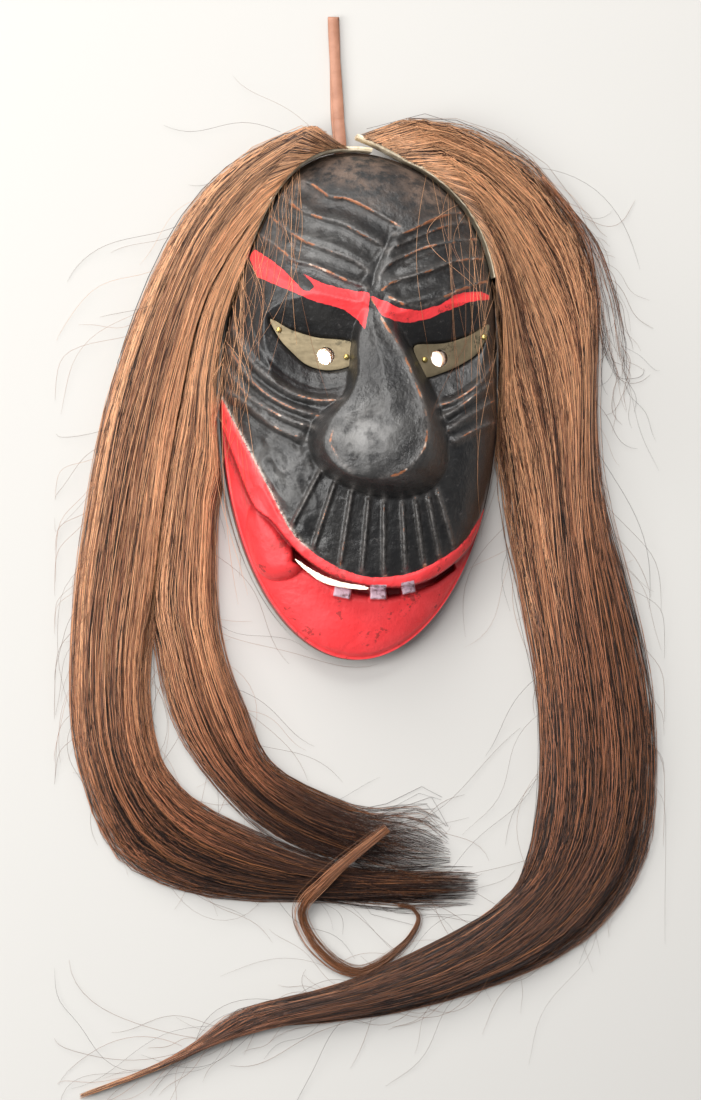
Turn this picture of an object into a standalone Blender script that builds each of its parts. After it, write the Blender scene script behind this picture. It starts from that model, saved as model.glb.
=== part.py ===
"""A carved wooden face mask with sheet-metal eyes and long horsehair, lying on its back.

The face looks up (+Z), the forehead lies towards +Y and the picture's right is +X. The
carving and the fall of the hair are drawn on a flat sheet in drawing millimetres, as the
mask is seen from a little to its left. The drawing is then stretched to the real sizes,
and leans with height so that it reads right from that side.
"""

import math

import bmesh
import bpy
import numpy as np
from mathutils import Vector

MM = 0.001

# Driving sizes, in metres.
MASK_WIDTH = 153 * MM
MASK_HEIGHT = 279.5 * MM
MASK_DEPTH = 99 * MM
CAVITY_DEPTH = 37 * MM
RIM_WIDTH = 11.5 * MM
EYE_HOLE_DIAMETER = 9.5 * MM
PLATE_THICKNESS = 0.9 * MM
TACK_HEAD_DIAMETER = 3.2 * MM
TACK_HEAD_HEIGHT = 1.0 * MM
HIDE_THICKNESS = 2.0 * MM
HIDE_BOTTOM = 12.6 * MM
HIDE_TOP = 24.0 * MM
LACE_WIDTH = 6.4 * MM
LACE_THICKNESS = 1.6 * MM
LACE_LENGTH = 77 * MM
LACE_HOLE_HEIGHT = 8.2 * MM
LACE_KNOT_DIAMETER = 11 * MM
LOOP_STRAND_DIAMETER = 4.2 * MM
HAIR_DEPTH = 19 * MM
CLEARANCE = 0.35 * MM

# The drawing's own sizes, in drawing millimetres.
DRAWN_HALF_WIDTH = 76.5
DRAWN_TOP = 137.5
DRAWN_BOTTOM = 142.0
DRAWN_DEPTH = 99.0
SHOULDER_FULLNESS = 0.2
SWAY_RIGHT, SWAY_LEFT, SWAY_LOW = 21.0, 25.5, 1.5
LEAN_ACROSS = 0.14
LEAN_UP = 0.033
EDGE_HEIGHT = 15.0

# Metres of the real object per drawing millimetre, across, along and up.
STRETCH = Vector((
    MASK_WIDTH / (2 * DRAWN_HALF_WIDTH),
    MASK_HEIGHT / (DRAWN_TOP + DRAWN_BOTTOM),
    MASK_DEPTH / DRAWN_DEPTH,
))

# Cells of the carved face before it is thinned out, and the share of faces that stays.
FACE_CELLS = (104, 184)
FACE_KEPT = 0.118
CAVITY_CELLS = (14, 24)

# Wrinkles of the forehead, each a sharp edge between two gouge cuts.
FOREHEAD_LEFT = (
    ((-37, 122), (-26, 117), (-18, 111), (-10, 110), (-2, 107), (9, 101), (21, 94)),
    ((-44, 113), (-35, 104), (-23, 99), (-10, 95), (3, 88), (13, 82)),
    ((-51, 101), (-41, 92), (-30, 85), (-17, 80), (-5, 75), (4, 69)),
    ((-59, 92), (-50, 86), (-43, 80), (-37, 75), (-26, 72), (-8, 64), (3, 60)),
)
FOREHEAD_RIGHT = (
    ((18, 90), (27, 92), (36, 97), (45, 101), (55, 104)),
    ((14, 80), (23, 85), (34, 90), (45, 95), (60, 99)),
    ((9, 65), (15, 73), (24, 78), (35, 83), (48, 86), (65, 90)),
    ((11, 59), (18, 64), (29, 67), (40, 71), (52, 76), (69, 79)),
    ((15, 55), (24, 51), (34, 51), (44, 55), (54, 60), (69, 66)),
)
FLUTE_DEPTH, FLUTE_WIDTH, FLUTE_EDGE = 9.5, 12.0, 1.0
FOREHEAD_CREASE = ((22, 94), (15, 87), (12, 81), (7, 69), (5, 58))
BROWS = (
    ((-66, 76), (-52, 67), (-35, 60), (-18, 53), (-2, 48)),
    ((9, 49), (20, 45), (33, 46), (48, 52), (70, 58)),
)

# Wrinkles that wrap under each eye, from the side of the face to the nose.
CHEEK_LEFT = (
    ((-71, 40), (-62, 22), (-52, 12), (-38, 3), (-23, -1), (-10, 0)),
    ((-73, 28), (-64, 14), (-53, 3), (-39, -5), (-22, -10)),
    ((-74, 17), (-64, 3), (-51, -6), (-39, -12), (-26, -16)),
    ((-74, 5), (-63, -3), (-50, -14), (-40, -19), (-31, -22)),
)
CHEEK_RIGHT = (
    ((41, -3), (49, -1), (59, 5), (67, 12), (74, 23)),
    ((43, -10), (50, -6), (57, -1), (65, 5), (73, 12)),
    ((46, -18), (51, -14), (58, -9), (66, -4), (74, 1)),
    ((48, -24), (55, -20), (62, -16), (74, -11)),
)
CHEEK_GROOVE = ((-75, -1), (-63, -8), (-50, -17), (-38, -23), (-30, -29))
RIBS = (
    ((-22, -38), (-39, -70)), ((-14, -43), (-27, -82)), ((-5, -47), (-12, -91)),
    ((4, -51), (0, -95)), ((12, -53), (12, -96)), ((22, -54), (24, -94)),
    ((29, -53), (34, -90)), ((36, -51), (43, -88)), ((41, -48), (51, -82)),
)

EYE_LEFT = (
    (-51, 44), (-39, 38), (-23, 34), (-4, 31), (-3, 21),
    (-9, 16.5), (-20, 15), (-31, 18), (-39, 25), (-46, 33),
)
EYE_RIGHT = (
    (28, 29.5), (43, 31.5), (59, 36), (70, 42.5), (70.5, 38),
    (65, 26.5), (54, 18.5), (43, 14), (34, 12), (31, 19),
)
# Height of each plate at its hole, and its slope across the face.
EYES = {
    "left": (EYE_LEFT, (-20.0, 23.5), 48.0, 0.12, ((-45.5, 37.5), (-8.5, 23.0))),
    "right": (EYE_RIGHT, (42.5, 23.0), 46.0, -0.22, ((34.5, 22.0), (67.5, 35.0))),
}
EYE_STEP = 2.2
BROW_SLOPE = 0.64
LID_SLOPE = 0.5

NOSE_TOP = (
    (5.5, 54), (12, 41), (21, 27), (28, 11), (33, -3), (35, -16), (33.5, -27),
    (27, -36), (16, -42), (4, -43), (-7, -41), (-14.5, -36), (-20.5, -26),
    (-19, -17), (-14, -8), (-6.5, 1), (-2, 14), (-2, 30), (1, 44),
)
NOSE_FOOT = (
    (4.5, 59), (16, 47), (26, 30), (36, 12), (43, -5), (47, -22), (47, -36),
    (40, -47), (27, -53), (12, -54), (-4, -50), (-17, -43), (-26, -34),
    (-29.5, -23), (-27, -13), (-19, -5), (-11, 1), (-8, 9), (-7, 22), (-5, 36), (0, 49),
)
# Height of the nose's ridge from its root down to its foot.
NOSE_RIDGE = (
    (60, 62), (45, 67.5), (30, 73.5), (12, 82), (-5, 89), (-20, 94), (-33, 97), (-43, 96), (-55, 88),
)
NOSE_TILT = 0.17

LIP_EDGE = (
    (-78, -14), (-71, -31), (-64, -49), (-58, -60), (-50, -66), (-40, -78), (-32, -86),
    (-17, -95.5), (2, -101), (21, -102), (37, -98), (51, -89), (62, -77), (69, -63), (75, -46),
)
JAW_EDGE = ((-32, -90), (-23, -96), (-12, -102), (-1, -105.5), (12, -107), (26, -105), (40, -100), (52, -92))
TONGUE = (
    (-61, -58), (-55, -59), (-45, -70), (-36, -82), (-32, -89), (-36, -95),
    (-43, -98), (-51, -98), (-58, -93), (-62, -83), (-64, -71),
)
MOUTH_HOLE = (
    (-37, -86.5), (-25, -94), (-12, -99), (2, -101.5), (2.5, -103.5), (-9, -102.5), (-22, -99.5), (-33, -91.5),
)
# Teeth: middle, width, height and turn in degrees.
TEETH = (
    ((-10.5, -103.5), 9.5, 8.5, -12), ((9.0, -104.5), 9.0, 8.0, 0), ((25.5, -102.0), 7.5, 6.5, 12),
)

# Plan edges of the hair, from the forehead to the tips.
LEFT_OUTER_EDGE = (
    (-18, 148), (-34, 150), (-67, 132), (-94, 103), (-116, 60), (-136, 0), (-146, -55),
    (-153, -110), (-155, -165), (-149, -203), (-130, -245), (-100, -263), (-67, -271),
    (-28, -273), (21, -273.5), (66, -272),
)
LEFT_SPLIT = ((-85, 60), (-100, 0), (-109, -55), (-115, -108))
LEFT_SPLIT_OUTER = (
    (-120.5, -143), (-119.5, -176), (-112, -203), (-94, -223), (-67, -238), (-34, -251),
    (-6, -258), (32, -263), (67, -265),
)
LEFT_SPLIT_INNER = (
    (-109, -135), (-104, -160), (-93, -187), (-73, -214), (-50, -235), (-23, -248), (10, -256), (35, -257), (52, -253),
)
LEFT_INNER_EDGE = (
    (-81, -55), (-82.5, -110), (-77, -143), (-67, -170), (-55, -197), (-34, -213),
    (-1, -227), (32, -235.5), (51, -246),
)
RIGHT_OUTER_EDGE = (
    (3, 151), (21, 155), (43, 155), (70, 144), (98, 125), (121, 93), (131, 60), (132, 27),
    (131, -11), (134, -55), (147, -110), (157, -160), (160, -205), (154, -247), (137, -278),
    (109, -303), (66, -322), (18, -335), (-34, -342), (-60, -344), (-80, -353), (-115, -368),
    (-154, -381.5),
)
RIGHT_INNER_EDGE = (
    (81, -28), (88, -68), (96, -110), (104, -150), (107, -193), (105, -232), (97, -262), (80, -279),
    (43, -302), (-1, -321), (-45, -331), (-66, -337), (-84, -350), (-115, -365.5), (-154, -379.5),
)
STRAY_OUTER_EDGE = ((103, 128), (131, 96), (143, 66), (149, 38), (151.5, 12))
STRAY_INNER_EDGE = ((101, 125.5), (124.5, 93.5), (134.5, 61), (140, 32), (149, 11))
LOOP_ROUTE = (
    (14, -234.5, 17), (-9, -253, 16.5), (-22, -265, 16), (-31, -276, 9.5), (-31, -286, 2.7),
    (-24, -299, 2.4), (-12, -310, 2.4), (0, -314, 2.4), (12, -309.5, 2.4), (23, -301, 2.4),
    (30, -293, 2.4), (33.5, -285, 2.4), (30, -279.5, 2.4), (22, -277.5, 2.4),
)
# Where the hide strips and the hair start and end along the forehead, in degrees.
LEFT_STRIP = (84.0, 150.0)
RIGHT_STRIP = (89.0, 30.0)
LEFT_ROOT = (92.0, 124.0, 149.0)
RIGHT_ROOT = (87.5, 31.0)
# Where each inner lock leaves the side of the face, in degrees.
LEFT_SIDE_END = 197.0
RIGHT_SIDE_END = -8.0
# The right strip's first end stands this far off the wood, over this many degrees.
STRIP_STAND_OFF = 7.0
STAND_OFF_SPAN = 17.0
PLEAT = 0.16
LACE_FOOT = -11.0
LACE_HEAD = -14.0


# Plain mathematics of the drawing.

def smooth_step(low, high, value):
    """0 below low, 1 above high, and a smooth turn between them."""
    share = np.clip((value - low) / (high - low), 0.0, 1.0)
    return share * share * (3.0 - 2.0 * share)


def curve_through(points, per_span=4, closed=False):
    """Points of a smooth curve that passes through each given point."""
    given = [np.array(p, float) for p in points]
    count = len(given)
    made = []
    for i in range(count if closed else count - 1):
        if closed:
            before, a, b, after = (given[(i + k) % count] for k in (-1, 0, 1, 2))
        else:
            before, a = given[max(i - 1, 0)], given[i]
            b, after = given[i + 1], given[min(i + 2, count - 1)]
        for t in np.arange(per_span) / per_span:
            made.append(0.5 * (
                2 * a + (b - before) * t + (2 * before - 5 * a + 4 * b - after) * t**2
                + (3 * a - before - 3 * b + after) * t**3
            ))
    if not closed:
        made.append(given[-1])
    return np.array(made)


def evenly_along(points, shares):
    """Points at the given shares of a path's length."""
    steps = np.linalg.norm(np.diff(points, axis=0), axis=1)
    along = np.concatenate([[0.0], np.cumsum(steps)])
    at = np.asarray(shares) * along[-1]
    return np.stack([np.interp(at, along, points[:, k]) for k in range(points.shape[1])], axis=1)


def nearest_on_path(x, y, path):
    """Distance from each place to a path, the share of the path before it, and its side."""
    distance = np.full(x.shape, 1e9)
    share = np.zeros(x.shape)
    side = np.zeros(x.shape)
    steps = np.linalg.norm(np.diff(path, axis=0), axis=1)
    along = np.concatenate([[0.0], np.cumsum(steps)])
    for (ax, ay), (bx, by), start, length in zip(path[:-1], path[1:], along, steps):
        t = ((x - ax) * (bx - ax) + (y - ay) * (by - ay)) / max(length * length, 1e-9)
        t = np.clip(t, 0.0, 1.0)
        found = np.hypot(x - ax - t * (bx - ax), y - ay - t * (by - ay))
        closer = found < distance
        distance = np.where(closer, found, distance)
        share = np.where(closer, (start + t * length) / along[-1], share)
        side = np.where(closer, np.sign((bx - ax) * (y - ay) - (by - ay) * (x - ax)), side)
    return distance, share, side


def gap_inside(x, y, outline):
    """Distance to a closed outline, positive inside it and negative outside."""
    closed = np.vstack([outline, outline[:1]])
    inside = np.zeros(x.shape, bool)
    for (ax, ay), (bx, by) in zip(closed[:-1], closed[1:]):
        crosses = (ay > y) != (by > y)
        level = (by - ay) if by != ay else 1e-12
        inside ^= crosses & (x < (bx - ax) * (y - ay) / level + ax)
    distance = nearest_on_path(x, y, closed)[0]
    return np.where(inside, distance, -distance)


def middle_of(y):
    """How far the face's middle line wanders from the drawing's own, at height y."""
    up, down = np.maximum(y, 0) / DRAWN_TOP, np.maximum(-y, 0) / DRAWN_BOTTOM
    return SWAY_RIGHT * up**2 - SWAY_LEFT * up**4 - SWAY_LOW * down**2 - 1.0


def half_width_at(y):
    """Half of the face's width if its outline ran straight, wider towards the forehead's shoulders."""
    return DRAWN_HALF_WIDTH * (1 + SHOULDER_FULLNESS * (np.maximum(y, 0) / DRAWN_TOP) ** 2)


def reach_of(y):
    """The face's half height on the side of y, top or bottom."""
    return np.where(np.asarray(y) > 0, DRAWN_TOP, DRAWN_BOTTOM)


def place_in_outline(p, q):
    """The drawing's place for a point of the unit disc."""
    y = q * reach_of(q)
    return middle_of(y) + p * half_width_at(y), y


def radius_in_outline(x, y):
    """0 at the middle of the face and 1 on its outline."""
    return np.hypot((x - middle_of(y)) / half_width_at(y), y / reach_of(y))


def beside_outline(degrees, away):
    """Places beside the face's outline, away outward from it, for angles from +X."""
    a = np.radians(np.asarray(degrees, float))
    x, y = place_in_outline(np.cos(a), np.sin(a))
    step = math.radians(0.1)
    next_x, next_y = place_in_outline(np.cos(a + step), np.sin(a + step))
    last_x, last_y = place_in_outline(np.cos(a - step), np.sin(a - step))
    out_x, out_y = next_y - last_y, last_x - next_x
    size = np.hypot(out_x, out_y)
    return x + away * out_x / size, y + away * out_y / size


def disc_cells(columns, rows):
    """A grid of places that fills the unit disc evenly."""
    a, b = np.meshgrid(np.linspace(-1, 1, columns + 1), np.linspace(-1, 1, rows + 1), indexing="ij")
    p, q = a * np.sqrt(1 - b * b / 2), b * np.sqrt(1 - a * a / 2)
    radius = np.hypot(p, q)
    packed = 1 - (1 - np.minimum(radius, 1)) ** 1.12
    scale = packed / np.maximum(radius, 1e-9)
    return p * scale, q * scale


# The carving, as heights over the drawing.

def add_edges(height, x, y, paths, reach, rise, sharpness=1.6):
    """Raises a sharp edge along each path, fading at both of its ends."""
    for path in paths:
        distance, share, _ = nearest_on_path(x, y, curve_through(path))
        ends = smooth_step(0.0, 0.12, share) * smooth_step(1.0, 0.9, share)
        height = height + rise * ends * np.clip(1 - distance / reach, 0, 1) ** sharpness
    return height


def add_flutes(height, x, y, paths):
    """Below each path, a gouge cut that drops at a sharp edge and comes up again."""
    for path in paths:
        distance, share, side = nearest_on_path(x, y, curve_through(path))
        ends = smooth_step(0.0, 0.15, share) * smooth_step(1.0, 0.93, share)
        below = np.where(side < 0, distance, 0)
        share_below = np.clip(below / FLUTE_WIDTH, 0, 1)
        scoop = np.sqrt(share_below) * (1 - share_below)
        edge = np.clip(1 - distance / 3, 0, 1) ** 1.5
        height = height + ends * (FLUTE_EDGE * edge - FLUTE_DEPTH * scoop)
    return height


def socket_height(x, y, eye):
    """The flat that one eye's plate lies on."""
    _, (hole_x, _), level, slope, _ = eye
    return level + slope * (x - hole_x)


def carve_sockets(height, x, y):
    """Cuts both eye sockets under the brows, down to the plates."""
    for eye in EYES.values():
        outline = curve_through(eye[0], 3, closed=True)
        gap = gap_inside(x, y, outline)
        centre_y = eye[1][1]
        above = smooth_step(-4, 9, y - centre_y - 0.4 * np.abs(x - eye[1][0]))
        slope = LID_SLOPE + (BROW_SLOPE - LID_SLOPE) * above
        bowl = socket_height(x, y, eye) + EYE_STEP - slope * np.minimum(gap, 0)
        height = np.minimum(height, bowl)
    return height


def nose_height(height, x, y):
    """Sets the bent nose on the face, with a flat top between sharp edges."""
    top = gap_inside(x, y, curve_through(NOSE_TOP, 3, closed=True))
    foot = gap_inside(x, y, curve_through(NOSE_FOOT, 3, closed=True))
    levels = curve_through(NOSE_RIDGE)[::-1]
    ridge = np.interp(y, levels[:, 0], levels[:, 1])
    right_edge = np.interp(y, [-55, -27, -3, 27, 54], [20, 33, 33, 21, 5])
    ridge = ridge - NOSE_TILT * np.clip(right_edge - x, 0, 60) + 4.0 * smooth_step(0, 20, top)
    climb = np.clip(foot / np.maximum(foot - np.minimum(top, 0), 1e-6), 0, 1)
    left = smooth_step(10, -12, x)
    climb = climb * (1 + (0.55 - 0.25 * left) * (1 - climb))
    raised = height + (ridge - height) * np.clip(climb, 0, 1)
    return np.where(foot > 0, np.maximum(raised, height), height)


def upper_height(x, y, radius):
    """The face down to the upper lip."""
    boxy = smooth_step(-0.3, 0.9, (x - middle_of(y)) / DRAWN_HALF_WIDTH)
    height = EDGE_HEIGHT + 51.0 * (1 - radius ** (2.3 + 1.7 * boxy)) ** (0.58 - 0.06 * boxy)
    for brow in BROWS:
        distance, share, _ = nearest_on_path(x, y, curve_through(brow))
        height = height + 5.0 * np.clip(1 - distance / 20, 0, 1) ** 1.3 * smooth_step(0, 0.1, share)
    height = add_flutes(height, x, y, FOREHEAD_LEFT)
    height = add_flutes(height, x, y, FOREHEAD_RIGHT)
    height = add_edges(height, x, y, (FOREHEAD_CREASE,), 4.0, -2.2)
    height = carve_sockets(height, x, y)
    height = add_edges(height, x, y, CHEEK_LEFT, 4.2, 3.4, 1.3)
    height = add_edges(height, x, y, CHEEK_RIGHT, 4.0, 3.2, 1.3)
    height = add_edges(height, x, y, (CHEEK_GROOVE,), 4.5, -3.0, 1.2)
    height = add_edges(height, x, y, RIBS, 1.9, 1.7, 1.0)
    return nose_height(height, x, y)


def jaw_height(x, y, radius):
    """The lower lip and chin, with the tongue and the edge of the mouth."""
    height = EDGE_HEIGHT - 2 + 30.0 * (1 - radius**2.6) ** 0.62
    edge = nearest_on_path(x, y, curve_through(JAW_EDGE))[0]
    height = height - 3.0 * np.clip(1 - edge / 4, 0, 1) ** 1.5
    tongue = gap_inside(x, y, curve_through(TONGUE, 3, closed=True))
    pillow = np.sqrt(np.clip(1 - (1 - np.clip(tongue, 0, 9) / 9) ** 2, 0, 1))
    return height + 10.5 * pillow


def mouth_height(height, x, y):
    """Sinks the mouth between the lips and stands the teeth in it."""
    upper = curve_through(LIP_EDGE)
    upper = upper[(upper[:, 0] > -33) & (upper[:, 0] < 53)]
    mouth = np.vstack([upper, curve_through(JAW_EDGE)[::-1]])
    sunk = smooth_step(-0.6, 0.8, gap_inside(x, y, mouth))
    height = height + (cavity_height(x, y) + 5.0 - height) * sunk
    for (middle_x, middle_y), width, tall, turn in TEETH:
        c, s = math.cos(math.radians(turn)), math.sin(math.radians(turn))
        across = np.abs((x - middle_x) * c + (y - middle_y) * s) - width / 2
        along = (y - middle_y) * c - (x - middle_x) * s
        block = smooth_step(0.5, -0.5, np.maximum(across, np.abs(along) - tall / 2))
        front = 39.0 - 1.2 * np.clip(along, 0, 9)
        height = height + np.maximum(front - height, 0) * block
    return height


def cavity_height(x, y):
    """The hollow behind the face."""
    rim = drawn(RIM_WIDTH)
    across = (x - middle_of(y)) / (half_width_at(y) - rim)
    along = y / (reach_of(y) - rim)
    return drawn(CAVITY_DEPTH, 2) * np.sqrt(np.clip(1 - across**2 - along**2, 0, 1))


def carved_height(x, y):
    """Height of the carved front over every place of the drawing."""
    radius = np.minimum(radius_in_outline(x, y), 1.0)
    below_lip = np.vstack([curve_through(LIP_EDGE), ((99, -46), (99, -170), (-99, -170), (-99, -14))])
    jaw = smooth_step(-0.7, 0.7, gap_inside(x, y, below_lip))
    height = upper_height(x, y, radius) * (1 - jaw) + jaw_height(x, y, radius) * jaw
    height = mouth_height(height, x, y)
    return EDGE_HEIGHT + (height - EDGE_HEIGHT) * smooth_step(1.0, 0.975, radius)


# From the drawing to the real object.

def to_real(x, y, z, leans=True):
    """The real place, in metres, of a place of the drawing and its height."""
    x, y, z = (np.asarray(value, float) for value in (x, y, z))
    over = np.maximum(z - EDGE_HEIGHT, 0) if leans else 0 * z
    leaned = np.stack(np.broadcast_arrays(x - LEAN_ACROSS * over, y - LEAN_UP * over, z), axis=-1)
    return leaned * np.array(STRETCH)


def drawn(length, axis=0):
    """A real length, in metres, in the drawing's own millimetres along an axis."""
    return length / STRETCH[axis]


def new_object(name, points, faces, material=None):
    """A mesh object of its own, with its faces turned outward."""
    mesh = bpy.data.meshes.new(name)
    mesh.from_pydata([tuple(p) for p in points], [], [tuple(int(i) for i in f) for f in faces])
    shape = bmesh.new()
    shape.from_mesh(mesh)
    bmesh.ops.recalc_face_normals(shape, faces=shape.faces)
    if shape.calc_volume(signed=True) < 0:
        bmesh.ops.reverse_faces(shape, faces=shape.faces)
    shape.to_mesh(mesh)
    shape.free()
    made = bpy.data.objects.new(name, mesh)
    bpy.context.scene.collection.objects.link(made)
    if material is not None:
        mesh.materials.append(material)
    return made


def make_material(name, colour, roughness, metallic=0.0):
    """A plain finish for one kind of piece."""
    material = bpy.data.materials.new(name)
    material.use_nodes = True
    shader = material.node_tree.nodes["Principled BSDF"]
    shader.inputs["Base Color"].default_value = (*colour, 1.0)
    shader.inputs["Roughness"].default_value = roughness
    shader.inputs["Metallic"].default_value = metallic
    return material


def grid_faces(rows, columns, first=0):
    """Four-sided faces over a grid of points stored row by row."""
    return [
        (first + r * columns + c, first + (r + 1) * columns + c,
         first + (r + 1) * columns + c + 1, first + r * columns + c + 1)
        for r in range(rows - 1) for c in range(columns - 1)
    ]


def ring_of(rows, columns):
    """Numbers of a grid's border points, in order round it."""
    index = np.arange(rows * columns).reshape(rows, columns)
    return list(index[:-1, 0]) + list(index[-1, :-1]) + list(index[:0:-1, -1]) + list(index[0, :0:-1])


def closed_below(name, points, rows, columns, bottom, material=None):
    """A solid from a grid of points, closed by straight sides down to a flat bottom."""
    ring = ring_of(rows, columns)
    count = len(points)
    foot = [np.array((points[i][0], points[i][1], bottom)) for i in ring]
    sides = [
        (ring[k], ring[(k + 1) % len(ring)], count + (k + 1) % len(ring), count + k)
        for k in range(len(ring))
    ]
    centre = count + len(foot)
    points = list(points) + foot + [np.mean(foot, axis=0)]
    floor = [(count + k, count + (k + 1) % len(ring), centre) for k in range(len(ring))]
    return new_object(name, points, grid_faces(rows, columns) + sides + floor, material)


def make_cutter(made):
    """Turns an object into a cutting tool that isn't part of the mask."""
    made.hide_render = True
    made.display_type = "WIRE"
    return made


def cut(target, tool):
    """Takes a tool's shape out of an object."""
    modifier = target.modifiers.new("cut by " + tool.name, "BOOLEAN")
    modifier.operation = "DIFFERENCE"
    modifier.solver = "EXACT"
    modifier.object = tool


def prism(name, outline, lows, highs, material=None):
    """A solid between two levels over a closed outline of the drawing."""
    outline = np.asarray(outline)
    count = len(outline)
    points = list(to_real(outline[:, 0], outline[:, 1], lows))
    points += list(to_real(outline[:, 0], outline[:, 1], highs))
    sides = [(k, (k + 1) % count, count + (k + 1) % count, count + k) for k in range(count)]
    caps = [tuple(range(count)), tuple(range(count, 2 * count))]
    return new_object(name, points, sides + caps, material)


def upright_round(name, centre, radius, low, high, sides=20, material=None):
    """A round bar along Z, in metres."""
    turn = [2 * math.pi * k / sides for k in range(sides)]
    points = [
        (centre[0] + radius * math.cos(a), centre[1] + radius * math.sin(a), level)
        for level in (low, high) for a in turn
    ]
    walls = [(k, (k + 1) % sides, sides + (k + 1) % sides, sides + k) for k in range(sides)]
    caps = [tuple(range(sides)), tuple(range(sides, 2 * sides))]
    return new_object(name, points, walls + caps, material)


# The pieces.

def build_cavity_cutter():
    """The hollow behind the face, open at the back."""
    p, q = disc_cells(*CAVITY_CELLS)
    rim = drawn(RIM_WIDTH)
    y = q * (reach_of(q) - rim)
    x = middle_of(y) + p * (half_width_at(y) - rim)
    height = np.maximum(cavity_height(x, y), 0.0)
    rows, columns = p.shape
    points = to_real(x, y, height).reshape(-1, 3)
    return make_cutter(closed_below("cavity", points, rows, columns, -30 * MM))


def eye_hole_centre(eye):
    """The real place of one eye's hole, at the plate."""
    _, (hole_x, hole_y), level, _, _ = eye
    return to_real(hole_x, hole_y, level)


def build_mask(wood):
    """The carved wooden face: one hollow shell with eye holes and a mouth."""
    p, q = disc_cells(*FACE_CELLS)
    x, y = place_in_outline(p, q)
    rows, columns = p.shape
    points = to_real(x, y, carved_height(x, y)).reshape(-1, 3)
    mask = closed_below("mask", points, rows, columns, -9 * MM, wood)
    thin = mask.modifiers.new("thin out", "DECIMATE")
    thin.ratio = FACE_KEPT

    below = MASK_DEPTH
    half = 2 * MASK_HEIGHT
    ground = [(sx * half, sy * half, z) for z in (-below, 0) for sx, sy in ((-1, -1), (1, -1), (1, 1), (-1, 1))]
    box = [(0, 1, 2, 3), (4, 5, 6, 7), (0, 1, 5, 4), (1, 2, 6, 5), (2, 3, 7, 6), (3, 0, 4, 7)]
    cut(mask, make_cutter(new_object("ground", ground, box)))
    cut(mask, build_cavity_cutter())
    for side, eye in EYES.items():
        outline = curve_through(eye[0], 2, closed=True)
        flat = socket_height(outline[:, 0], outline[:, 1], eye)
        cut(mask, make_cutter(prism("socket_" + side, outline, flat, flat + DRAWN_DEPTH)))
        cut(mask, eye_drill(side, eye))
    hole = curve_through(MOUTH_HOLE, 2, closed=True)
    cut(mask, make_cutter(prism("mouth_hole", hole, EDGE_HEIGHT, DRAWN_DEPTH)))
    cut(mask, lace_hole_cutter())
    return mask


def eye_drill(side, eye):
    """The drill that passes through one plate and the wood behind it."""
    centre = eye_hole_centre(eye)
    return make_cutter(upright_round(
        "drill_" + side, centre, EYE_HOLE_DIAMETER / 2, -20 * MM, MASK_DEPTH + 20 * MM
    ))


def build_eye_plate(side, eye, metal):
    """One sheet-metal eye, cut to its socket with a little room all round."""
    outline = curve_through(eye[0], 2, closed=True)
    centre = outline.mean(axis=0)
    away = outline - centre
    size = np.linalg.norm(away, axis=1, keepdims=True)
    outline = centre + away * (1 - 2.2 * drawn(CLEARANCE) / size)
    low = socket_height(outline[:, 0], outline[:, 1], eye) + drawn(CLEARANCE, 2)
    high = low + drawn(PLATE_THICKNESS, 2)
    plate = prism("eye_plate_" + side, outline, low, high, metal)
    cut(plate, bpy.data.objects["drill_" + side])
    return plate


def build_tacks(side, eye, brass):
    """The round-headed tacks that hold one eye plate."""
    for number, (x, y) in enumerate(eye[4], start=1):
        level = socket_height(x, y, eye) + drawn(2 * CLEARANCE + PLATE_THICKNESS, 2)
        foot = to_real(x, y, level)
        radius, tall = TACK_HEAD_DIAMETER / 2, TACK_HEAD_HEIGHT
        lift = abs(eye[3]) * radius
        sides = 10
        points, faces = [], []
        for share, level in ((1.0, 0.0), (0.92, 0.5), (0.5, 0.92)):
            for k in range(sides):
                a = 2 * math.pi * k / sides
                points.append(foot + np.array((
                    radius * share * math.cos(a), radius * share * math.sin(a), lift + tall * level
                )))
        for ring in range(2):
            for k in range(sides):
                a, b = ring * sides + k, ring * sides + (k + 1) % sides
                faces.append((a, b, b + sides, a + sides))
        faces += [tuple(range(sides)), tuple(range(2 * sides, 3 * sides))]
        tack = new_object(f"tack_{side}_{number}", points, faces, brass)
        tack.data.shade_smooth()


def hide_away():
    """How far the hair's root stands off the mask, outside the hide strip."""
    return drawn(2 * CLEARANCE + HIDE_THICKNESS)


def stand_off(degrees):
    """How far the right strip stands off the wood near its first end."""
    run = (RIGHT_STRIP[0] - np.asarray(degrees)) / STAND_OFF_SPAN
    return STRIP_STAND_OFF * np.clip(1 - run, 0, 1) ** 1.5


def build_hide_strip(name, first, last, stands_off, hide):
    """A strip of rawhide bent round the forehead's edge."""
    angles = np.linspace(first, last, 25)
    off = drawn(CLEARANCE) + (stand_off(angles) if stands_off else 0 * angles)
    rows = []
    for away in (off, off + drawn(HIDE_THICKNESS)):
        x, y = beside_outline(angles, away)
        for level in (HIDE_BOTTOM, HIDE_TOP):
            rows.append(to_real(x, y, drawn(level, 2), False))
    inner_low, inner_high, outer_low, outer_high = rows
    points = []
    for k in range(len(angles)):
        points += [inner_low[k], outer_low[k], outer_high[k], inner_high[k]]
    faces = []
    for k in range(len(angles) - 1):
        for side in range(4):
            a, b = 4 * k + side, 4 * k + (side + 1) % 4
            faces.append((a, b, b + 4, a + 4))
    faces += [(0, 1, 2, 3), tuple(range(len(points) - 4, len(points)))]
    return new_object(name, points, faces, hide)


def hair_bottom(x, y):
    """Underside of the hair: on the ground, but over the lace at the top of the head."""
    near = smooth_step(46, 20, np.abs(x - LACE_FOOT)) * smooth_step(90, 120, y)
    return drawn(HIDE_BOTTOM, 2) * near


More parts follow.
